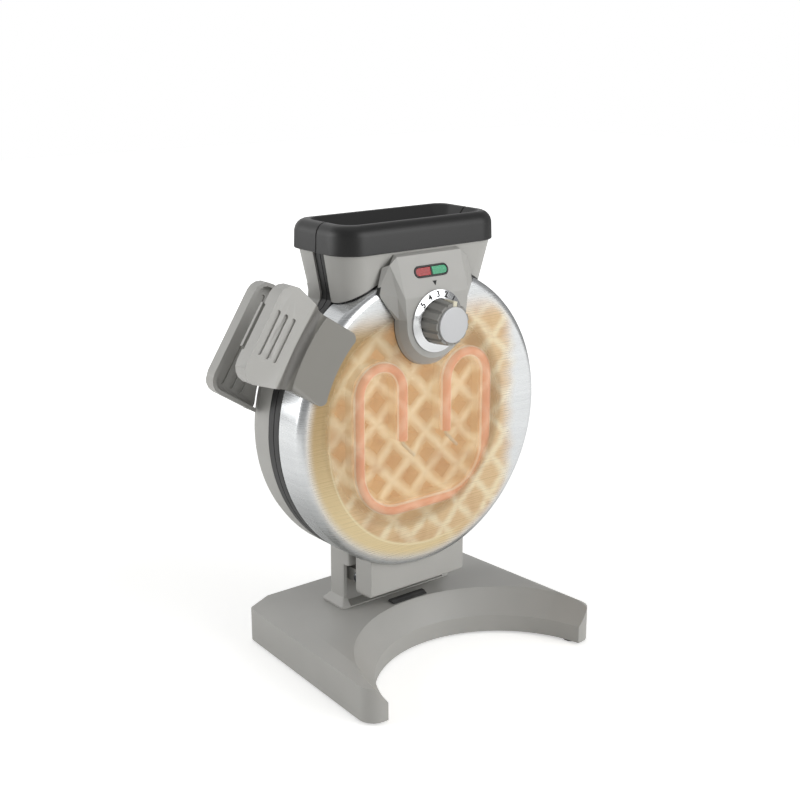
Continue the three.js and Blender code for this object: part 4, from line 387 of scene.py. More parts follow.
def cast_plate(name, outward, back, glow=0.0):
    """Die-cast aluminium: a near-black PTFE coat in front, and behind it either bare casting or the golden look"""
    # A glow, where one is given, is painted. It lightens the casting, which is no lamp.
    material, tree, shader = start(name, IOR=1.45, Emission_Strength=glow)
    coordinates = add(tree, "TexCoord", {})
    place = coordinates["Object"]
    fleck = add(tree, "TexNoise", {}, Vector=place, Scale=1 / (1.0 * MM), Detail=4.0)["Fac"]
    coat = add(tree, "Mix", COLOURS, Factor=fleck, _6="#2a2827", _7="#3b3836")[2]
    skin, metal = back(tree, place)
    facing = add(tree, "SeparateXYZ", {}, Vector=coordinates["Normal"])["Y"]
    faced = add(tree, "MapRange", {}, Value=facing, From_Min=outward * 0.02, From_Max=outward * 0.08)["Result"]
    depth = add(tree, "SeparateXYZ", {}, Vector=place)["Y"]
    deep = add(tree, "MapRange", {}, Value=depth, From_Min=at(0, outward * PLATE_BACK_Y, 0).y,
               From_Max=at(0, outward * (PLATE_BACK_Y + 0.2), 0).y)["Result"]
    behind = add(tree, "Math", "MAXIMUM", _0=faced, _1=deep)[0]
    tint = add(tree, "Mix", COLOURS, Factor=behind, _6=coat, _7=skin)[2]
    shine = add(tree, "Math", "MULTIPLY", _0=behind, _1=metal)[0]
    dull = add(tree, "MapRange", {}, Value=fleck, To_Min=0.42, To_Max=0.62)["Result"]
    bump = add(tree, "Bump", {}, Strength=0.2, Distance=0.1 * MM, Height=fleck)["Normal"]
    feed(tree, shader, Base_Color=tint, Metallic=shine, Roughness=dull, Normal=bump)
    if glow:
        feed(tree, shader, Emission_Color=tint)
    return material


def bare_casting(tree, place):
    """The grey skin that a die leaves"""
    flow = add(tree, "TexNoise", {}, Vector=place, Scale=1 / (14 * MM), Detail=5.0)["Fac"]
    return add(tree, "Mix", COLOURS, Factor=flow, _6="#8d8c89", _7="#a6a5a2")[2], 0.8


def mask(tree, *steps):
    """The product of values and of soft steps, each a distance and the millimetres from which and to which it runs"""
    product = None
    for step in steps:
        if isinstance(step, tuple):
            value, first, last = step
            step = add(tree, "MapRange", {"interpolation_type": "SMOOTHSTEP"}, Value=value, From_Min=first * MM,
                       From_Max=last * MM)["Result"]
        product = add(tree, "Math", "MULTIPLY", _0=product, _1=step)[0] if product else step
    return product


GRID_PITCH = 24


def golden_lattice(tree, place, aside=0, above=0):
    """Cream ridges, golden slopes and browner pockets on the plate's own lattice, with blotches as of baking"""
    waver = add(tree, "TexNoise", {}, Vector=place, Scale=1 / (16 * MM), Detail=2.0)["Color"]
    drift = add(tree, "VectorMath", "MULTIPLY_ADD", _0=waver, _1=(9 * MM, 0, 9 * MM), _2=place)["Vector"]
    seat = at(4.5 + aside, 0, DISC_HEIGHT + 4.5 + above)
    offset = add(tree, "VectorMath", "SUBTRACT", _0=drift, _1=seat)["Vector"]
    nearest = []
    for slant in ((0.7071, 0, 0.7071), (-0.7071, 0, 0.7071)):
        along = add(tree, "VectorMath", "DOT_PRODUCT", _0=offset, _1=slant)["Value"]
        nearest.append(add(tree, "Math", "PINGPONG", _0=along, _1=GRID_PITCH / 2 * MM)[0])
    ridge = add(tree, "Math", "MINIMUM", _0=nearest[0], _1=nearest[1])[0]
    # The pockets are browner partly from the bake and partly as painted shade.
    sunk = mask(tree, (ridge, 0, 5.8))
    slope = add(tree, "Mix", COLOURS, Factor=sunk, _6="#ecdbb7", _7="#d8b98d")[2]
    patches = add(tree, "TexNoise", {}, Vector=place, Scale=1 / (28 * MM), Detail=3.0, Distortion=0.6)["Fac"]
    brown = add(tree, "MapRange", {}, Value=patches, From_Min=0.48, From_Max=0.72, To_Max=0.7)["Result"]
    return add(tree, "Mix", COLOURS, Factor=brown, _6=slope, _7="#c29a72")[2], 0.0


# The golden back carries a painted glow that lightens it.
GOLDEN_PLATE = cast_plate("golden_cast_plate", -1, golden_lattice, 0.3)
COATED_PLATE = cast_plate("coated_cast_plate", 1, bare_casting)
rounded("rear_grid_plate", "rear_grid_casting", COATED_PLATE, 0.6, [DISC_TURN])
rounded("front_grid_plate", "front_grid_casting", GOLDEN_PLATE, 1.0, [DISC_TURN])

# Heating elements
# A sheathed tube, annealed and bent to a deep U whose ends turn back down inside it, with thin terminal pins.
# The annealed sheath is salmon in front with a painted glow, and a painted highlight makes it paler along its flanks.

TUBE_Y = 27.6
TUBE_RADIUS = 4.3
TUBE_LEFT = -60
TUBE_RIGHT = 69.4
TUBE_TOP = 243.2
TUBE_BOTTOM = 124.2
TUBE_CORNER = 38
TUBE_RETURN = 42.4
TUBE_END = 181
PIN_RADIUS = 1.5
PIN_REACH = 17
PIN_SINK = 6


def annealed_sheath(name):
    """Annealed nickel-steel sheath: salmon oxide, satin, a painted glow, and a painted highlight on its flanks"""
    # The emission is a painted glow. The sheath is no lamp.
    material, tree, shader = start(name, Metallic=0.1, Emission_Strength=0.2)
    coordinates = add(tree, "TexCoord", {})
    # A painted highlight: flanks turned away from a fixed direction near the view are paler.
    facing = add(tree, "VectorMath", "DOT_PRODUCT", _0=coordinates["Normal"], _1=(-0.4, -0.9, 0.15))["Value"]
    turned_off = add(tree, "Math", "ABSOLUTE", _0=facing)[0]
    painted_flank_highlight = add(tree, "MapRange", {}, Value=turned_off, From_Min=0.68, From_Max=0.5)["Result"]
    cloud = add(tree, "TexNoise", {}, Vector=coordinates["Object"], Scale=1 / (11 * MM), Detail=3.0)["Fac"]
    oxide = add(tree, "Mix", COLOURS, Factor=cloud, _6="#f6a486", _7="#fab598")[2]
    tint = add(tree, "Mix", COLOURS, Factor=painted_flank_highlight, _6=oxide, _7="#fdebdc")[2]
    dull = add(tree, "MapRange", {}, Value=cloud, To_Min=0.38, To_Max=0.55)["Result"]
    bump = add(tree, "Bump", {}, Strength=0.1, Distance=0.04 * MM, Height=cloud)["Normal"]
    feed(tree, shader, Base_Color=tint, Emission_Color=tint, Roughness=dull, Normal=bump)
    return material


def arc(x, z, radius, start_angle, end_angle, steps=18):
    """Points of an arc in the plane of the disc"""
    turn = (end_angle - start_angle) / steps
    return [(x + radius * cos(start_angle + turn * i), z + radius * sin(start_angle + turn * i))
            for i in range(steps + 1)]


def tube(shape, points, radius, steps=20):
    """Adds a round tube along points, closed at its ends, to a body"""
    rings = []
    for i, point in enumerate(points):
        run = (points[min(i + 1, len(points) - 1)] - points[max(i - 1, 0)]).normalized()
        side = Vector((0, 1, 0))
        up = run.cross(side).normalized()
        rings.append([shape.verts.new(point + (side * cos(tau * k / steps) + up * sin(tau * k / steps)) * radius)
                      for k in range(steps)])
    for ring, following in zip(rings, rings[1:]):
        for k in range(steps):
            shape.faces.new([ring[k], ring[(k + 1) % steps], following[(k + 1) % steps], following[k]])
    shape.faces.new(rings[0])
    shape.faces.new(rings[-1])
    bmesh.ops.recalc_face_normals(shape, faces=shape.faces)


SHEATH = annealed_sheath("annealed_tube_sheath")
# Ceramic-coated pin: cream, smooth and slightly glossy
PIN_COAT = grained("fired_pin_coat", "#f7f0dc", "#ebe0c4", 1.5, (0.3, 0.45), IOR=1.52)
bow = TUBE_TOP - TUBE_RETURN / 2
sag = TUBE_BOTTOM + TUBE_CORNER
course = [(TUBE_LEFT + TUBE_RETURN, TUBE_END)]
course += arc(TUBE_LEFT + TUBE_RETURN / 2, bow, TUBE_RETURN / 2, 0, pi)
course += arc(TUBE_LEFT + TUBE_CORNER, sag, TUBE_CORNER, pi, 1.5 * pi)
course += arc(TUBE_RIGHT - TUBE_CORNER, sag, TUBE_CORNER, -0.5 * pi, 0)
course += arc(TUBE_RIGHT - TUBE_RETURN / 2, bow, TUBE_RETURN / 2, 0, pi)
course += [(TUBE_RIGHT - TUBE_RETURN, TUBE_END)]
for half, side in (("front", -1), ("rear", 1)):
    body = bmesh.new()
    tube(body, [at(x, side * TUBE_Y, z) for x, z in course], TUBE_RADIUS * MM)
    sheath_faces = len(body.faces)
    for x, _ in (course[0], course[-1]):
        bend = TUBE_END - PIN_SINK / 2
        route = [(x, TUBE_END + PIN_SINK), (x, bend + 1)]
        route += [(x + 1, bend - 1), (x + PIN_REACH / 1.414, bend - PIN_REACH / 1.414)]
        tube(body, [at(px, side * TUBE_Y, pz) for px, pz in route], PIN_RADIUS * MM, 12)
    body.faces.ensure_lookup_table()
    for face in body.faces[sheath_faces:]:
        face.material_index = 1
    piece = settle(f"{half}_heating_tube", body, SHEATH, f"{half}_heating_element")
    piece.data.materials.append(PIN_COAT)


# Cutout, thermostat and lamp board
# Small bought-in parts: a glazed steatite cutout on the rear plate, a plated thermostat behind the dial, and a
# pale fibre board with two lamps behind the lenses.

# Both are pale and smooth, with faint specks.
STEATITE = grained("glazed_steatite", "#ece8dd", "#dcd6c8", 0.8, (0.25, 0.45), 4.0, IOR=1.55)
FIBRE_BOARD = grained("pale_fibre_board", "#d8cfae", "#c9bf9a", 0.8, (0.25, 0.45), 4.0, IOR=1.55)
rounded("thermal_cutout", "ceramic_cutout", STEATITE, 0.3)
rounded("lamp_board", "lamp_carrier", FIBRE_BOARD, 0.2)
paint(ZINC, "thermostat")

# Rear cover, collar and handle
# The rear cover is one ABS moulding: the disc with a deep edge radius and the rear of the spout. The collar of
# black PBT snaps on the spout. The handle has three finger grooves and is screwed on from inside.

rounded("rear_cover", "rear_cover_moulding", GREY, 1.6, [DISC_TURN], crease=25)


def hull(points):
    """The smallest convex body round some points"""
    shape = bmesh.new()
    for point in points:
        shape.verts.new(point)
    made = bmesh.ops.convex_hull(shape, input=shape.verts)
    spare = dict.fromkeys(made["geom_interior"] + made["geom_unused"])
    bmesh.ops.delete(shape, geom=[v for v in spare if isinstance(v, bmesh.types.BMVert)], context="VERTS")
    return shape


COLLAR_FOOT = 332
COLLAR_TOP = 354
COLLAR_HALF = 78.3
COLLAR_FRONT = -35.7
COLLAR_REAR = 40
COLLAR_WALL = 2.5
COLLAR_NEAR = 22
COLLAR_FAR = 16
COLLAR_EDGE = [(0, 0), (0.62, 0.5), (0.76, 1.4), (0.87, 3.0), (0.95, 5.0), (1, 7.6)]
MOUTH_HALF = 68.7
MOUTH_FRONT = -26.1
MOUTH_REAR = 30.4
MOUTH_CORNER = 13
CHUTE_HALF = 50
CHUTE_DEEP = 7
CHUTE_CORNER = 3
NECK_TOP = 321.8


def plan(half, front, rear, near, far, z):
    """A level outline with its own corner radius in front and behind"""
    ring = arc(half - far, rear - far, far, 0, pi / 2, 9) + arc(far - half, rear - far, far, pi / 2, pi, 9)
    ring += arc(near - half, front + near, near, pi, 1.5 * pi, 9)
    ring += arc(half - near, front + near, near, 1.5 * pi, tau, 9)
    return [at(x, y, z) for x, y in ring]


def collar_skin(inset, z):
    """One level of the collar"""
    return plan(COLLAR_HALF - inset, COLLAR_FRONT + inset, COLLAR_REAR - inset, COLLAR_NEAR - inset,
                COLLAR_FAR - inset, z)


def collar_half(low_y, high_y):
    """One half of the collar: a full-edged skin, hollow under its rim, with the funnel running down to the chute"""
    rise = COLLAR_TOP - COLLAR_FOOT
    skin = hull([p for share, inset in COLLAR_EDGE for p in collar_skin(inset, COLLAR_FOOT + rise * share)])
    hollow = hull(collar_skin(COLLAR_WALL, COLLAR_FOOT - 5) + collar_skin(COLLAR_WALL + 1, COLLAR_FOOT + 14))
    bodies = []
    for wall, over in ((COLLAR_WALL, 0), (0, 1)):
        lip = wall * 0.7
        mouth = plan(MOUTH_HALF + lip, MOUTH_FRONT - lip, MOUTH_REAR + lip, MOUTH_CORNER + lip, MOUTH_CORNER + lip,
                     COLLAR_TOP - 0.1 + over)
        throat = [CHUTE_HALF + wall, -CHUTE_DEEP - wall, CHUTE_DEEP + wall, CHUTE_CORNER + wall, CHUTE_CORNER + wall]
        bodies.append(hull(mouth + plan(*throat, COLLAR_FOOT)))
        bodies.append(hull(plan(*throat, COLLAR_FOOT + 1) + plan(*throat, NECK_TOP - over)))
    cut = block(at(-200, low_y, 300), at(200, high_y, 400))
    return combine(skin, ("DIFFERENCE", [hollow]), ("UNION", bodies[:2]), ("DIFFERENCE", bodies[2:]),
                   ("INTERSECT", [cut]))


settle("rear_collar_moulding", soften(collar_half(0.25, 200), 0.9, crease=30, weld=0.05), BLACK,
       "rear_collar")
HANDLE_X = -0.841
HANDLE_Z = 0.541


def on_handle(out, y, across):
    """A place on the line of the handles: out from the disc's axis, and across towards the spout"""
    return at(HANDLE_X * out + HANDLE_Z * across, y, DISC_HEIGHT + HANDLE_Z * out - HANDLE_X * across)


def bar(out, low, high, half, front, rear):
    """An upright bar with round ends, as a body to cut a finger groove with"""
    ends = arc(out, high - half, half, 0, pi, 12) + arc(out, low + half, half, pi, tau, 12)
    return hull([on_handle(s, y, t) for y in (front, rear) for s, t in ends])


def slab(corners, front, rear):
    """A flat block between two depths, with corners given along and across the handles"""
    return hull([on_handle(s, y, t) for y in (front, rear) for s, t in corners])


REAR_PLATE_Y = 28
flush = slab([(121, -48), (156, -48), (156, 36), (121, 36)], REAR_PLATE_Y - 4, REAR_PLATE_Y + 0.05)
grooves = [bar(128.5 + 9 * i, -44, 30, 1.9, REAR_PLATE_Y - 4, REAR_PLATE_Y + 1.3) for i in range(3)]
rear_grip = combine(packed("rear_handle"), ("DIFFERENCE", [flush, *grooves]))
settle("rear_handle_moulding", soften(rear_grip, 0.6, [DISC_TURN], weld=0.05), GREY, "rear_handle")

# Hinge block
# The grey foot of the front half: its barrel turns on the pin between the ears of the pedestal.

rounded("hinge_block", "hinge_block_moulding", GREY, 0.8, [DISC_TURN])

# Front cover
# A deep-drawn pan of 1.2 mm stainless steel with a rolled edge, brushed level. Its middle is shown as clear, so
# that the heating tube and the golden lattice behind it are seen, as in the photograph.

STEEL_WALL = 1.2
EDGE_ROUND = 7
COVER_RIM_Y = -7.1
PLATE_RING = 97.6
VEIL_ASIDE = -15
VEIL_ABOVE = 7
DIAL_HEIGHT = 278
HANDLE_SCREWS_OUT = 110.5
FOOT_SCREWS_ASIDE = 26


def brushed_steel(name, window):
    """Stainless steel brushed level: bright, with long fine scratches that stretch the highlights"""
    material, tree, shader = start(name, Metallic=1.0, Anisotropic=0.55)
    place = add(tree, "TexCoord", {})["Object"]
    # Real scratches are about 0.1 mm apart. They are drawn at 0.7 mm so that they show.
    run = add(tree, "VectorMath", "DIVIDE", _0=place, _1=(110 * MM, 110 * MM, 0.7 * MM))["Vector"]
    lines = add(tree, "TexNoise", {}, Vector=run, Scale=1.0, Detail=4.0, Roughness=0.65)["Fac"]
    wide = add(tree, "VectorMath", "DIVIDE", _0=place, _1=(160 * MM, 160 * MM, 7 * MM))["Vector"]
    bands = add(tree, "TexNoise", {}, Vector=wide, Scale=1.0, Detail=2.0)["Fac"]
    streak = add(tree, "Math", "MULTIPLY_ADD", _0=bands, _1=0.5, _2=lines)[0]
    tone = add(tree, "MapRange", {}, Value=streak, From_Min=0.5, From_Max=1.0)["Result"]
    tint = add(tree, "Mix", COLOURS, Factor=tone, _6="#c6c8ca", _7="#d6d8d9")[2]
    dull = add(tree, "MapRange", {}, Value=lines, From_Min=0.3, From_Max=0.7, To_Min=0.25, To_Max=0.31)["Result"]
    bump = add(tree, "Bump", {}, Strength=0.03, Distance=0.03 * MM, Height=lines)["Normal"]
    feed(tree, shader, Roughness=dull, Normal=bump)
    tint, metal, clear = window(tree, place, tint)
    feed(tree, shader, Base_Color=tint, Metallic=metal, Alpha=clear)
    return material


def from_axis(tree, height):
    """From a level axis at a height: a point's offset, the same in the disc's plane, and its distance"""
    offset = add(tree, "VectorMath", "SUBTRACT", _0=add(tree, "TexCoord", {})["Object"],
                 _1=at(0, 0, height))["Vector"]
    flat = add(tree, "VectorMath", "MULTIPLY", _0=offset, _1=(1, 0, 1))["Vector"]
    return offset, flat, add(tree, "VectorMath", "LENGTH", _0=flat)["Value"]


def golden_window(tree, place, tint):
    """A golden veil out past the plate's ring, frayed at its right and top, half clear over the plate"""
    offset, flat, reach = from_axis(tree, DISC_HEIGHT)
    over_plate, edge = [add(tree, "VectorMath", "DISTANCE", _0=flat, _1=(x * MM, 0, z * MM))["Value"]
                        for x, z in ((-9, 5), (4.5, -5))]
    across = add(tree, "SeparateXYZ", {}, Vector=offset)
    wisps = add(tree, "VectorMath", "DIVIDE", _0=place, _1=(30 * MM, 30 * MM, 16 * MM))["Vector"]
    fray = add(tree, "TexNoise", {}, Vector=wisps, Scale=1.0, Detail=1.0)["Fac"]
    drift = add(tree, "Math", "MULTIPLY_ADD", _0=fray, _1=14 * MM, _2=across["X"])[0]
    right = mask(tree, (drift, 107, 84))
    top = mask(tree, (across["Z"], 98, 72))
    gold = golden_lattice(tree, place, VEIL_ASIDE, VEIL_ABOVE)[0]
    # A painted reflection: beside the plate's ring the gold is dark above and pale below.
    lower = mask(tree, (across["Z"], 45, -95))
    side = add(tree, "Mix", COLOURS, Factor=lower, _6="#ad9060", _7="#dfca9c")[2]
    beside = mask(tree, (edge, PLATE_RING - 2.5, PLATE_RING), (across["X"], 60, 0))
    gold = add(tree, "Mix", COLOURS, Factor=beside, _6=gold, _7=side)[2]
    # A painted highlight: a cream line along the plate's edge, fading out towards the right.
    ring = mask(tree, (edge, PLATE_RING - 1.6, PLATE_RING), (edge, PLATE_RING + 1.0, PLATE_RING),
                (across["X"], 60, -10), 0.7)
    gold = add(tree, "Mix", COLOURS, Factor=ring, _6=gold, _7="#f0e2bd")[2]
    veil = mask(tree, (reach, 117, 106), right, top)
    clear = mask(tree, (over_plate, 93, 82), right, top, 0.74)
    colour = add(tree, "Mix", COLOURS, Factor=veil, _6=tint, _7=gold)[2]
    metal = add(tree, "MapRange", {}, Value=veil, To_Min=1.0, To_Max=0.1)["Result"]
    return colour, metal, add(tree, "Math", "SUBTRACT", _0=1.0, _1=clear)[0]


def pan_edge(gap):
    """The rolled edge in section, or a line that keeps a gap from it"""
    reach = EDGE_ROUND + gap
    return [(DISC_RADIUS - EDGE_ROUND + reach * sin(radians(a)), COVER_FACE_Y + EDGE_ROUND - reach * cos(radians(a)))
            for a in range(0, 91, 9)]


def drill(radius, mouth, length, steps=24, axis=(0, 1, 0)):
    """A round body to drill with, from a mouth along an axis"""
    return turned([(0, 0), (radius, 0), (radius, length), (0, length)], mouth, steps, axis)


STEEL = brushed_steel("brushed_steel_with_window", golden_window)
INNER_RADIUS = DISC_RADIUS - STEEL_WALL
DISC_CENTRE = at(0, 0, DISC_HEIGHT)
section = [(0, COVER_FACE_Y), *pan_edge(0), (DISC_RADIUS, COVER_RIM_Y - 0.3), (DISC_RADIUS - 0.3, COVER_RIM_Y),
           (INNER_RADIUS + 0.3, COVER_RIM_Y), (INNER_RADIUS, COVER_RIM_Y - 0.3), *pan_edge(-STEEL_WALL)[::-1],
           (0, COVER_FACE_Y + STEEL_WALL)]
holes = [block(at(-56.5, -12, DISC_HEIGHT), at(56.5, 5, DISC_HEIGHT + 200)), drill(11, at(0, -60, DIAL_HEIGHT), 60)]
for lean in (-10, 10):
    bearing = atan2(HANDLE_Z, HANDLE_X) + radians(lean)
    x, z = HANDLE_SCREWS_OUT * cos(bearing), HANDLE_SCREWS_OUT * sin(bearing)
    holes.append(drill(2, at(x, -60, DISC_HEIGHT + z), 60))
holes += [drill(2, at(side * FOOT_SCREWS_ASIDE, -16, 0), 140, axis=(0, 0, 1)) for side in (-1, 1)]
settle("brushed_cover", combine(turned(section, DISC_CENTRE, 192), ("DIFFERENCE", holes)), STEEL,
       "front_cover")

# Front spout and control panel
# One ABS moulding: the flared spout, the bevelled wings and the flat face with its elliptical chin, with a black
# painted shadow line along the edge where it sits on the steel. The front half of the black collar snaps on it, and
# a small black triangle is pad-printed on the face over the dial.

PANEL_FACE_Y = -47.8
PANEL_KINK_HEIGHT = 298.5
PANEL_CREST_Y = -37.6
PANEL_CREST_HEIGHT = 328.7
PANEL_SLOPE = (PANEL_CREST_Y - PANEL_FACE_Y) / (PANEL_CREST_HEIGHT - PANEL_KINK_HEIGHT)
FLANK_HEIGHT = 281.7
SPOUT_HEAD = 331.7
SPOUT_FACE_Y = -33.5
SPOUT_CORNER = 20
WINDOW_ASIDE = -1.2
WINDOW_HEIGHT = 316
# The width of the black painted shadow line along the edge on the steel, in millimetres
SHADOW_LINE = 1.1


def pair(x, y, z):
    """The same place on both sides"""
    return [at(x, y, z), at(-x, y, z)]


def chin(half, drop, y):
    """The lower half of an ellipse round the dial, closed above by the flanks"""
    turn = arc(0, 0, 1, pi, tau, 36)
    return [at(half * x, y, DIAL_HEIGHT + drop * z) for x, z in turn] + pair(half, y, FLANK_HEIGHT)


def moulding(inset):
    """The solid outside of the moulding, or its hollow: spout, wings, face and chin"""
    face = PANEL_FACE_Y + inset
    spout_face = SPOUT_FACE_Y + inset
    over = 5 if inset else 0
    back = COVER_FACE_Y + over
    half = inset / 2
    corner = SPOUT_CORNER - inset
    rings = []
    for width, depth, z in ((65.5, -25.4, 277), (76.2, SPOUT_FACE_Y, SPOUT_HEAD + over)):
        ring = arc(corner - width + inset, depth + inset + corner, corner, pi, 1.5 * pi, 12)
        ring += arc(width - inset - corner, depth + inset + corner, corner, 1.5 * pi, tau, 12)
        rings += [at(x, y, z) for x, y in ring] + pair(width - inset, COVER_RIM_Y, z)
    bevel = pair(32.2 - inset, -41.5 + half, FLANK_HEIGHT) + pair(34.8 - inset, -43.2 + half, 299.5)
    bevel += pair(38 - inset, PANEL_CREST_Y + half, 323.5 - inset)
    wings = bevel + pair(42 - inset, spout_face, 321.5 - inset) + pair(47.5 - inset, spout_face, 302.6)
    wings += pair(47.5 - inset, back, 302.6) + pair(32 - inset, back, FLANK_HEIGHT)
    wings += pair(41 - inset, back, 322 - inset)
    bow = bevel + pair(29.4 - half, face, FLANK_HEIGHT) + pair(30.9 - half, face, PANEL_KINK_HEIGHT - half)
    bow += pair(31.2 - half, PANEL_CREST_Y + inset, PANEL_CREST_HEIGHT - inset)
    bow += pair(31.2 - half, spout_face, PANEL_CREST_HEIGHT + 1.5 - inset)
    lower = chin(31.8 - inset, 36.8 - inset, back) + chin(31.4 - inset, 35.4 - inset, -40.5 + half)
    lower += chin(29.2 - half, 28.8 + half, face)
    return [hull(points) for points in (rings, wings, bow, lower)]


def on_slope(x, z):
    """A place on the sloping upper part of the panel's face"""
    return at(x, PANEL_FACE_Y + (z - PANEL_KINK_HEIGHT) * PANEL_SLOPE, z)


def capsule(half_length, radius):
    """The window's hole through the sloping face"""
    up = Vector((0, PANEL_SLOPE, 1)).normalized()
    ends = arc(half_length - radius, 0, radius, -pi / 2, pi / 2)
    ends += arc(radius - half_length, 0, radius, pi / 2, 1.5 * pi)
    return hull([on_slope(WINDOW_ASIDE, WINDOW_HEIGHT) + (Vector((x, y, -y * PANEL_SLOPE)) + up * z) * MM
                 for x, z in ends for y in (-5, 6)])


def prism(points, along):
    """A flat outline drawn out along a vector, as a body"""
    shape = bmesh.new()
    near, far = [[shape.verts.new(p + shift) for p in points] for shift in (Vector(), along)]
    for corners in (near[::-1], far, *[(near[i - 1], near[i], far[i], far[i - 1]) for i in range(len(points))]):
        shape.faces.new(corners)
    bmesh.ops.recalc_face_normals(shape, faces=shape.faces)
    return shape


def painted_shadow_line(tree, tint):
    """A black painted shadow line over the grey ABS, along the edge that sits on the steel"""
    offset, _, reach = from_axis(tree, DISC_HEIGHT)
    depth = add(tree, "SeparateXYZ", {}, Vector=offset)["Y"]
    # Painted shadow: black where the moulding meets the steel.
    lip = mask(tree, (reach, DISC_RADIUS + SHADOW_LINE + 0.2, DISC_RADIUS + SHADOW_LINE - 0.1),
               (depth, COVER_FACE_Y - SHADOW_LINE - 0.2, COVER_FACE_Y - SHADOW_LINE + 0.1))
    return add(tree, "Mix", COLOURS, Factor=lip, _6=tint, _7="#1a1a1a")[2]


right_side = [(32, FLANK_HEIGHT), (47.5, 302.6), (62.6, 297.5), (68.2, 291), (200, 291), (200, 337)]
trim = [(-x, z) for x, z in right_side[::-1]]
trim += [(31.8 * x, DIAL_HEIGHT + 36.8 * z) for x, z in arc(0, 0, 1, pi, tau, 36)] + right_side
moulding_frame = prism([at(x, -100, z) for x, z in trim], Vector((0, 0.15, 0)))
steel_room = turned([(0, COVER_FACE_Y - 0.3), *pan_edge(0.3), (DISC_RADIUS + 0.3, 9), (0, 9)], DISC_CENTRE, 192)
neck_bore = drill(5.3, at(0, -80, DIAL_HEIGHT), 80, 32)
chute_room = block(at(-CHUTE_HALF - 2.5, -12, 291), at(CHUTE_HALF + 2.5, 5, 400))
spout, *fronts = moulding(0)
shell = combine(spout, ("UNION", fronts), ("INTERSECT", [moulding_frame]),
                ("DIFFERENCE", [*moulding(2.5), chute_room, steel_room, neck_bore, capsule(16.8, 4.7)]))
# The grey moulding carries a black painted shadow line where it meets the steel.
settle("front_spout_moulding", soften(shell, 0.8, crease=12, weld=0.05),
       moulded_abs("grey_abs_with_painted_shadow_line", "#b3b2ae", "#aeada9", painted_shadow_line), "front_spout_shell")
settle("front_collar_moulding", soften(collar_half(-200, -0.25), 0.9, crease=30, weld=0.05), BLACK,
       "front_collar")

# Thin, black and slightly glossy, with small pinholes
INK = grained("black_pad_printing", "#141414", "#2a2a2a", 0.4, (0.6, 0.8), IOR=1.5)
PRINT_PROUD = 0.06
POINTER_TOP = 308.6
POINTER_TIP = 304.9
POINTER_HALF = 2.1


def inked(piece, body):
    """Gives a printed shape its ink, and lets it ride on the body that carries it"""
    piece.data.materials.clear()
    piece.data.materials.append(INK)
    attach(piece, body)


corners = [on_slope(-POINTER_HALF, POINTER_TOP), on_slope(POINTER_HALF, POINTER_TOP), on_slope(0, POINTER_TIP)]
slope_out = Vector((0, -1, PANEL_SLOPE)).normalized()
inked(placed("panel_pointer", prism(corners, slope_out * PRINT_PROUD * MM)), "front_half")


# Indicator
# A capsule window with a black rim. Two lenses of tinted acrylic, red and green, have small prisms behind
# their faces that break up the light.

def tinted_acrylic(name, colour, deep):
    """Tinted acrylic: glossy, with moulded prisms in relief and their glints and shade painted as specks"""
    material, tree, shader = start(name, IOR=1.49, Roughness=0.22)
    place = add(tree, "TexCoord", {})["Object"]
    prisms = add(tree, "TexVoronoi", {}, Vector=place, Scale=1 / (1.4 * MM))["Distance"]
    # The light and dark specks are painted glints and shade of the prisms.
    tint = add(tree, "Mix", COLOURS, Factor=prisms, _6=colour, _7=deep)[2]
    bump = add(tree, "Bump", {}, Strength=0.15, Distance=0.1 * MM, Height=prisms)["Normal"]
    feed(tree, shader, Base_Color=tint, Normal=bump)
    return material


PACKED_SLOPE = 0.41
PACKED_FACE_Y = -50.1
PACKED_KINK_HEIGHT = 299.5


def seated(node, name, material, radius):
    """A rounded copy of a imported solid, moved with the window on to the face's slope"""
    piece = rounded(node, name, material, radius)
    packed_seat = at(0, PACKED_FACE_Y + (WINDOW_HEIGHT - PACKED_KINK_HEIGHT) * PACKED_SLOPE, WINDOW_HEIGHT)
    lean = Matrix.Rotation(atan2(PACKED_SLOPE, 1) - atan2(PANEL_SLOPE, 1), 4, "X")
    seat = on_slope(WINDOW_ASIDE, WINDOW_HEIGHT)
    piece.data.transform(Matrix.Translation(seat) @ lean @ Matrix.Translation(-packed_seat))


seated("indicator_bezel", "indicator_window", BLACK, 0.25)
for tone, colour, deep in (("red", "#b80a10", "#8a1014"), ("green", "#2bb07c", "#1d8a5e")):
    seated(f"{tone}_lens", f"{tone}_window_lens", tinted_acrylic(f"tinted_acrylic_{tone}", colour, deep),
           0.15)

# Dial
# A spun steel cone with the numbers printed on it, a fluted ABS grip, a cream marker pressed into the grip and
# a pale lacquered cap. All of it turns with the thermostat's shaft.

DIAL_RADIUS = 24.4
CONE_TOP_RADIUS = 18.0
CONE_EDGE = 0.9
CONE_RISE = 2.4
BORE = 3.3
dial_back = PANEL_FACE_Y - 0.3
cone_front = dial_back - CONE_EDGE
cone_top = dial_back - CONE_RISE


def spun_steel(name):
    """Spun steel: bright, with the fine rings that the turning tool leaves"""
    material, tree, shader = start(name, Metallic=1.0, Anisotropic=0.4)
    reach = from_axis(tree, DIAL_HEIGHT)[2]
    # Tool marks are about 0.1 mm apart. They are drawn at 0.4 mm so that they show.
    rings = add(tree, "TexNoise", {"noise_dimensions": "1D"}, W=reach, Scale=1 / (0.4 * MM), Detail=2.0)["Fac"]
    tint = add(tree, "Mix", COLOURS, Factor=rings, _6="#c6c8ca", _7="#e2e3e4")[2]
    dull = add(tree, "MapRange", {}, Value=rings, To_Min=0.12, To_Max=0.2)["Result"]
    bump = add(tree, "Bump", {}, Strength=0.15, Distance=0.02 * MM, Height=rings)["Normal"]
    feed(tree, shader, Base_Color=tint, Roughness=dull, Normal=bump)
    return material


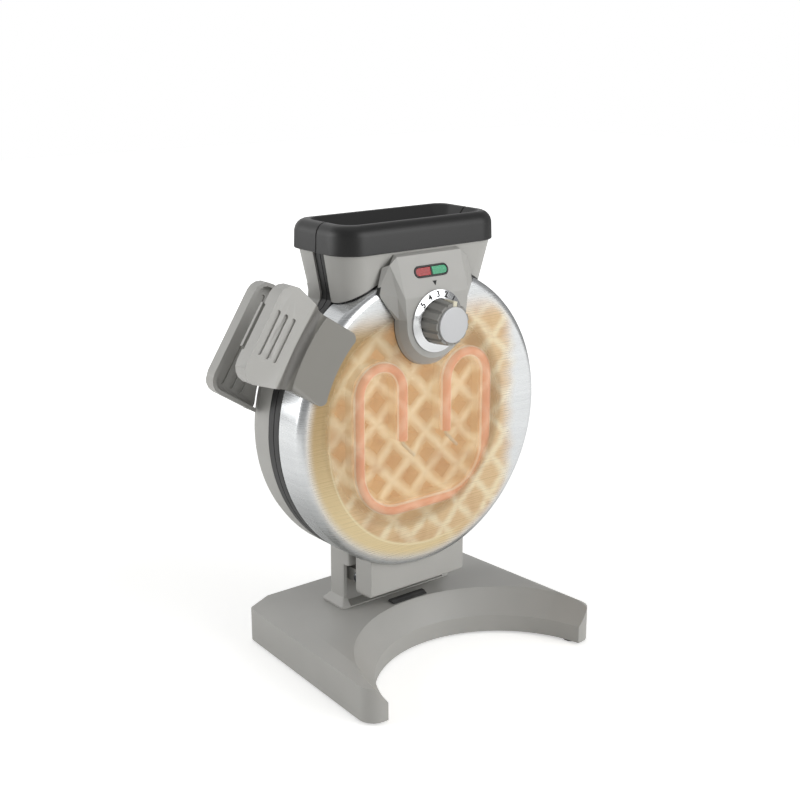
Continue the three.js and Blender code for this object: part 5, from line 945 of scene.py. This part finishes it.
cone = [(BORE, dial_back), (DIAL_RADIUS - 0.2, dial_back), (DIAL_RADIUS, dial_back - 0.2),
        (DIAL_RADIUS, cone_front + 0.15), (DIAL_RADIUS - 0.25, cone_front - 0.05), (CONE_TOP_RADIUS, cone_top),
        (CONE_TOP_RADIUS, cone_front), (BORE, cone_front)]
DIAL_CENTRE = at(0, 0, DIAL_HEIGHT)
settle("dial_cone", turned(cone, DIAL_CENTRE, 128), spun_steel("spun_steel"), "dial_skirt")
GRIP_TURN = (Matrix.Translation(DIAL_CENTRE) @ Matrix.Rotation(radians(-14), 4, "Y")
             @ Matrix.Translation(-DIAL_CENTRE))
# The grip reaches back to the panel's face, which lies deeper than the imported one.
grip = packed("knob_grip")
for vert in grip.verts:
    if vert.co.y > at(0, -55, 0).y:
        vert.co.y += (PANEL_FACE_Y - PACKED_FACE_Y) * MM
grip.transform(GRIP_TURN)
settle("fluted_grip", soften(grip, 0.55), moulded_abs("moulded_grip_abs", "#92918d", "#8b8a86"),
       "knob_grip")
marker = packed("knob_marker")
marker.transform(GRIP_TURN)
settle("cream_marker", soften(marker, 0.35), moulded_abs("moulded_cream_abs", "#e6e0cb", "#ddd6bf"),
       "knob_marker")
CAP_RADIUS = 13.8
CAP_BACK_Y = -66.3
CAP_FRONT_Y = -67.8
# Silver lacquer on a moulded disc: pale, with a very fine sparkle under a satin coat
LACQUER = grained("silver_lacquer", "#cbccce", "#c3c4c6", 0.35, (0.38, 0.5), Metallic=0.15, Coat_Weight=0.1,
                  Coat_Roughness=0.4)
cap = [(0, CAP_BACK_Y), (CAP_RADIUS, CAP_BACK_Y), (CAP_RADIUS, CAP_FRONT_Y + 0.6),
       (CAP_RADIUS - 0.2, CAP_FRONT_Y + 0.2), (CAP_RADIUS - 0.7, CAP_FRONT_Y), (CAP_RADIUS * 0.6, CAP_FRONT_Y - 0.25),
       (0, CAP_FRONT_Y - 0.4)]
settle("dial_cap", turned(cap, DIAL_CENTRE, 96), LACQUER, "knob_cap")

# The numbers lie on the cone, so each is turned to its bearing and leant back by the cone's slope.
NUMBER_SIZE = 6.4
NUMBER_RADIUS = 20.9
cone_lean = atan2(CONE_RISE - CONE_EDGE, DIAL_RADIUS - CONE_TOP_RADIUS)
for number, bearing in (("5", -47), ("4", -24), ("3", -2), ("2", 20), ("1", 43)):
    turn = radians(bearing)
    outward = Vector((sin(turn), 0, cos(turn)))
    upright = outward * cos(cone_lean) + Vector((0, sin(cone_lean), 0))
    rightward = Vector((cos(turn), 0, -sin(turn)))
    raised = rightward.cross(upright)
    rise = (DIAL_RADIUS - NUMBER_RADIUS) / (DIAL_RADIUS - CONE_TOP_RADIUS) * (CONE_RISE - CONE_EDGE)
    seat = at(0, cone_front - rise, DIAL_HEIGHT) + outward * NUMBER_RADIUS * MM + raised * 0.08 * MM
    text = bpy.data.curves.new("number", "FONT")
    text.body = number
    text.size = NUMBER_SIZE * MM
    text.align_x = "CENTER"
    text.align_y = "CENTER"
    text.offset = 0.26 * MM
    text.extrude = 0.03 * MM
    holder = bpy.data.objects.new("number", text)
    link(holder)
    mesh = evaluated(holder)
    mesh.transform(Matrix.Translation(seat) @ Matrix((rightward, upright, raised)).transposed().to_4x4())
    figure = bpy.data.objects.new(f"dial_number_{number}", mesh)
    link(figure)
    inked(figure, "browning_knob")

# Front handle and latch
# An ABS grip with three finger grooves and a deep groove before its root, screwed on through the steel from
# inside. The latch is a spring lever on a pin across the handle: its tab stands behind the handle's outer lip.

GRIP_START = 147.8


def darker_root_and_groove_shade(tree, tint):
    """The root painted a darker grey, and painted shade in the groove before the grip"""
    offset = from_axis(tree, DISC_HEIGHT)[0]
    out = add(tree, "VectorMath", "DOT_PRODUCT", _0=offset, _1=(HANDLE_X, 0, HANDLE_Z))["Value"]
    grip = mask(tree, (out, GRIP_START - 0.5, GRIP_START + 1.5))
    # The root is painted a darker grey.
    tint = add(tree, "Mix", COLOURS, Factor=grip, _6="#87857f", _7=tint)[2]
    # Painted shade in the groove before the grip.
    sunk = mask(tree, (out, 136.6, 138.2), (out, 148.6, 146.4))
    return add(tree, "Mix", COLOURS, Factor=sunk, _6=tint, _7="#6f6d69")[2]


GRIP_LINE = [(90, -39.3), (136.4, -39.3), (137.3, -39), (138.2, -37.6), (140, -36.2), (142.3, -35.7),
             (144.6, -36.1), (146.4, -37.2), (147.2, -38.3), (148.4, -39.5), (150.5, -40.4), (153.5, -41),
             (157.5, -41.3), (163, -41.1), (190, -38.6)]
GRIP_OUT = 167.5
GRIP_LOW = -38.5
GRIP_HIGH = 37.5
GRIP_CORNER = 12
GRIP_REAR_Y = -26.4
ROOT_START = 104
ROOT_OUT = 134
ROOT_HALF = 29.8
ROOT_CORNER = 6
SIDE_WALL = 3


def handle_outline():
    """The handle seen from the front: rounded root corners, straight taper and rounded grip corners"""
    line = []
    for side, grip in ((1, GRIP_HIGH), (-1, GRIP_LOW)):
        half = arc(ROOT_START + 2.8, side * (ROOT_HALF - ROOT_CORNER), ROOT_CORNER, pi, pi - side * pi / 2, 8)
        half += [(ROOT_OUT, side * ROOT_HALF), (GRIP_OUT, grip)]
        half += arc(GRIP_OUT, grip - side * GRIP_CORNER, GRIP_CORNER, side * pi / 2, 0, 8)
        line += half if side > 0 else half[::-1]
    sweep = 0.75 * asin(ROOT_HALF / ROOT_START)
    line += [(ROOT_START * cos(sweep * (i / 6 - 1)), ROOT_START * sin(sweep * (i / 6 - 1))) for i in range(13)]
    return [on_handle(s, -60, t) for s, t in line]


walls = []
for side, grip in ((1, GRIP_HIGH), (-1, GRIP_LOW)):
    outer = [(GRIP_OUT + 1, grip), (ROOT_OUT - 6, side * ROOT_HALF)]
    walls.append(slab(outer + [(s, t - side * SIDE_WALL) for s, t in outer], -38, GRIP_REAR_Y))
trimmer = turned([*GRIP_LINE, (190, -60), (90, -60)], DISC_CENTRE, 240)
grooves = [bar(160.3 + 7 * i, -18, 16.5, 1.75, -50, -39.3 + 0.45 * i) for i in range(3)]
handle = combine(packed("front_handle"), ("UNION", walls),
                 ("INTERSECT", [prism(handle_outline(), Vector((0, 0.09, 0)))]), ("DIFFERENCE", [trimmer, *grooves]))
settle("front_handle_moulding", soften(handle, 0.8, crease=30, weld=0.05),
       moulded_abs("grey_abs_darker_root_painted_groove_shade", "#b6b5b1", "#b6b5b1", darker_root_and_groove_shade), "front_handle")
tab = slab([(172.8, -16.5), (178.4, -16.5), (178.4, 18), (172.8, 18)], -23.1, -20.4)
settle("latch_lever", soften(combine(packed("latch"), ("UNION", [tab])), 0.4, weld=0.02), GREY,
       "latch")

# Room
# A plain white floor and plain soft lamps. The camera sees the floor a little brighter than the lamps make it,
# so that the ground goes to white while the shadows stay.

FLOOR_HALF = 4.0
plane = bmesh.new()
bmesh.ops.create_grid(plane, x_segments=1, y_segments=1, size=FLOOR_HALF)
floor = placed("floor", plane)
paper, tree, shader = start("white_paper", Base_Color=linear("#f0f0ee"), Roughness=0.9)
seen = add(tree, "LightPath", {})
place = add(tree, "TexCoord", {})["Object"]
far = add(tree, "VectorMath", "LENGTH", _0=place)["Value"]
whiter = add(tree, "MapRange", {}, Value=far, From_Min=0.3, From_Max=1.3, To_Min=0.5, To_Max=0.95)["Result"]
glow = add(tree, "Math", "MAXIMUM", _0=seen["Is Camera Ray"], _1=seen["Is Transmission Ray"])[0]
glow = add(tree, "Math", "MULTIPLY", _0=glow, _1=whiter)[0]
# Mirrored in the steel the floor is bright only round the object, and dark where a photographer would stand.
stand = add(tree, "VectorMath", "DISTANCE", _0=place, _1=(-0.25, -1.15, 0))["Value"]
mirrored = mask(tree, (stand, 450, 800), (far, 2000, 1100), (far, 120, 400), 0.5, seen["Is Glossy Ray"])
glow = add(tree, "Math", "ADD", _0=glow, _1=mirrored)[0]
shader.inputs["Emission Color"].default_value = (1, 1, 1, 1)
feed(tree, shader, Emission_Strength=glow)
floor.data.materials.append(paper)

world = bpy.data.worlds.new("studio")
world.use_nodes = True
bpy.context.scene.world = world
tree = world.node_tree
seen = add(tree, "LightPath", {})
heading = add(tree, "SeparateXYZ", {}, Vector=add(tree, "TexCoord", {})["Generated"])
# Low is bright and high is dull. The front is dim, the back bright, and the right nearly dark.
low, front, back, side = [
    add(tree, "MapRange", {}, Value=heading[axis], From_Min=x0, From_Max=x1, To_Min=y0, To_Max=y1)["Result"]
    for axis, x0, x1, y0, y1 in (("Z", 0.05, 0.5, 1.0, 0.2), ("Y", -0.35, 0.35, 0.3, 1.0), ("Y", 0.3, 0.65, 0.0, 1.0),
                                 ("X", 0.55, 0.85, 1.0, 0.08))]
mirrored = add(tree, "Math", "MAXIMUM", _0=mask(tree, low, front), _1=back)[0]
mirrored = mask(tree, mirrored, side, seen["Is Glossy Ray"])
plain = add(tree, "Math", "MAXIMUM", _0=seen["Is Camera Ray"], _1=seen["Is Transmission Ray"])[0]
plain = add(tree, "Math", "MAXIMUM", _0=plain, _1=mirrored)[0]
strength = add(tree, "Math", "MAXIMUM", _0=plain, _1=0.36)[0]
tree.links.new(strength, tree.nodes["Background"].inputs["Strength"])
tree.nodes["Background"].inputs["Color"].default_value = (1, 1, 1, 1)


def lamp(name, place, aim, size, power):
    """A large soft rectangular lamp"""
    light = bpy.data.lights.new(name, "AREA")
    light.shape = "RECTANGLE"
    light.size, light.size_y = size
    light.energy = power
    holder = bpy.data.objects.new(name, light)
    holder.location = place
    holder.rotation_euler = (Vector(aim) - Vector(place)).to_track_quat("-Z", "Y").to_euler()
    link(holder)


MIDDLE = (0.0, 0.0, 0.18)
lamp("front", (0.8, -1.65, 0.85), MIDDLE, (1.5, 1.5), 21)
lamp("left", (-1.5, 0.95, 0.7), MIDDLE, (1.2, 1.2), 13)
lamp("top", (0.1, 0.1, 1.8), MIDDLE, (1.3, 1.3), 2)

# Camera
# It stands at the front left, a little above, at the photograph's angle and distance.

CAMERA_AIM = Vector((0.02912, 0.02819, 0.2022))
CAMERA_BACK = Vector((-0.600, -0.751, 0.2766)).normalized()
CAMERA_DISTANCE = 1.0668
view = bpy.data.cameras.new("view")
view.lens = 59.17
view.sensor_width = 36.0
camera = bpy.data.objects.new("view", view)
camera.location = CAMERA_AIM + CAMERA_BACK * CAMERA_DISTANCE
camera.rotation_euler = (-CAMERA_BACK).to_track_quat("-Z", "Y").to_euler()
link(camera)
bpy.context.scene.camera = camera
bpy.context.scene.view_settings.view_transform = "Standard"
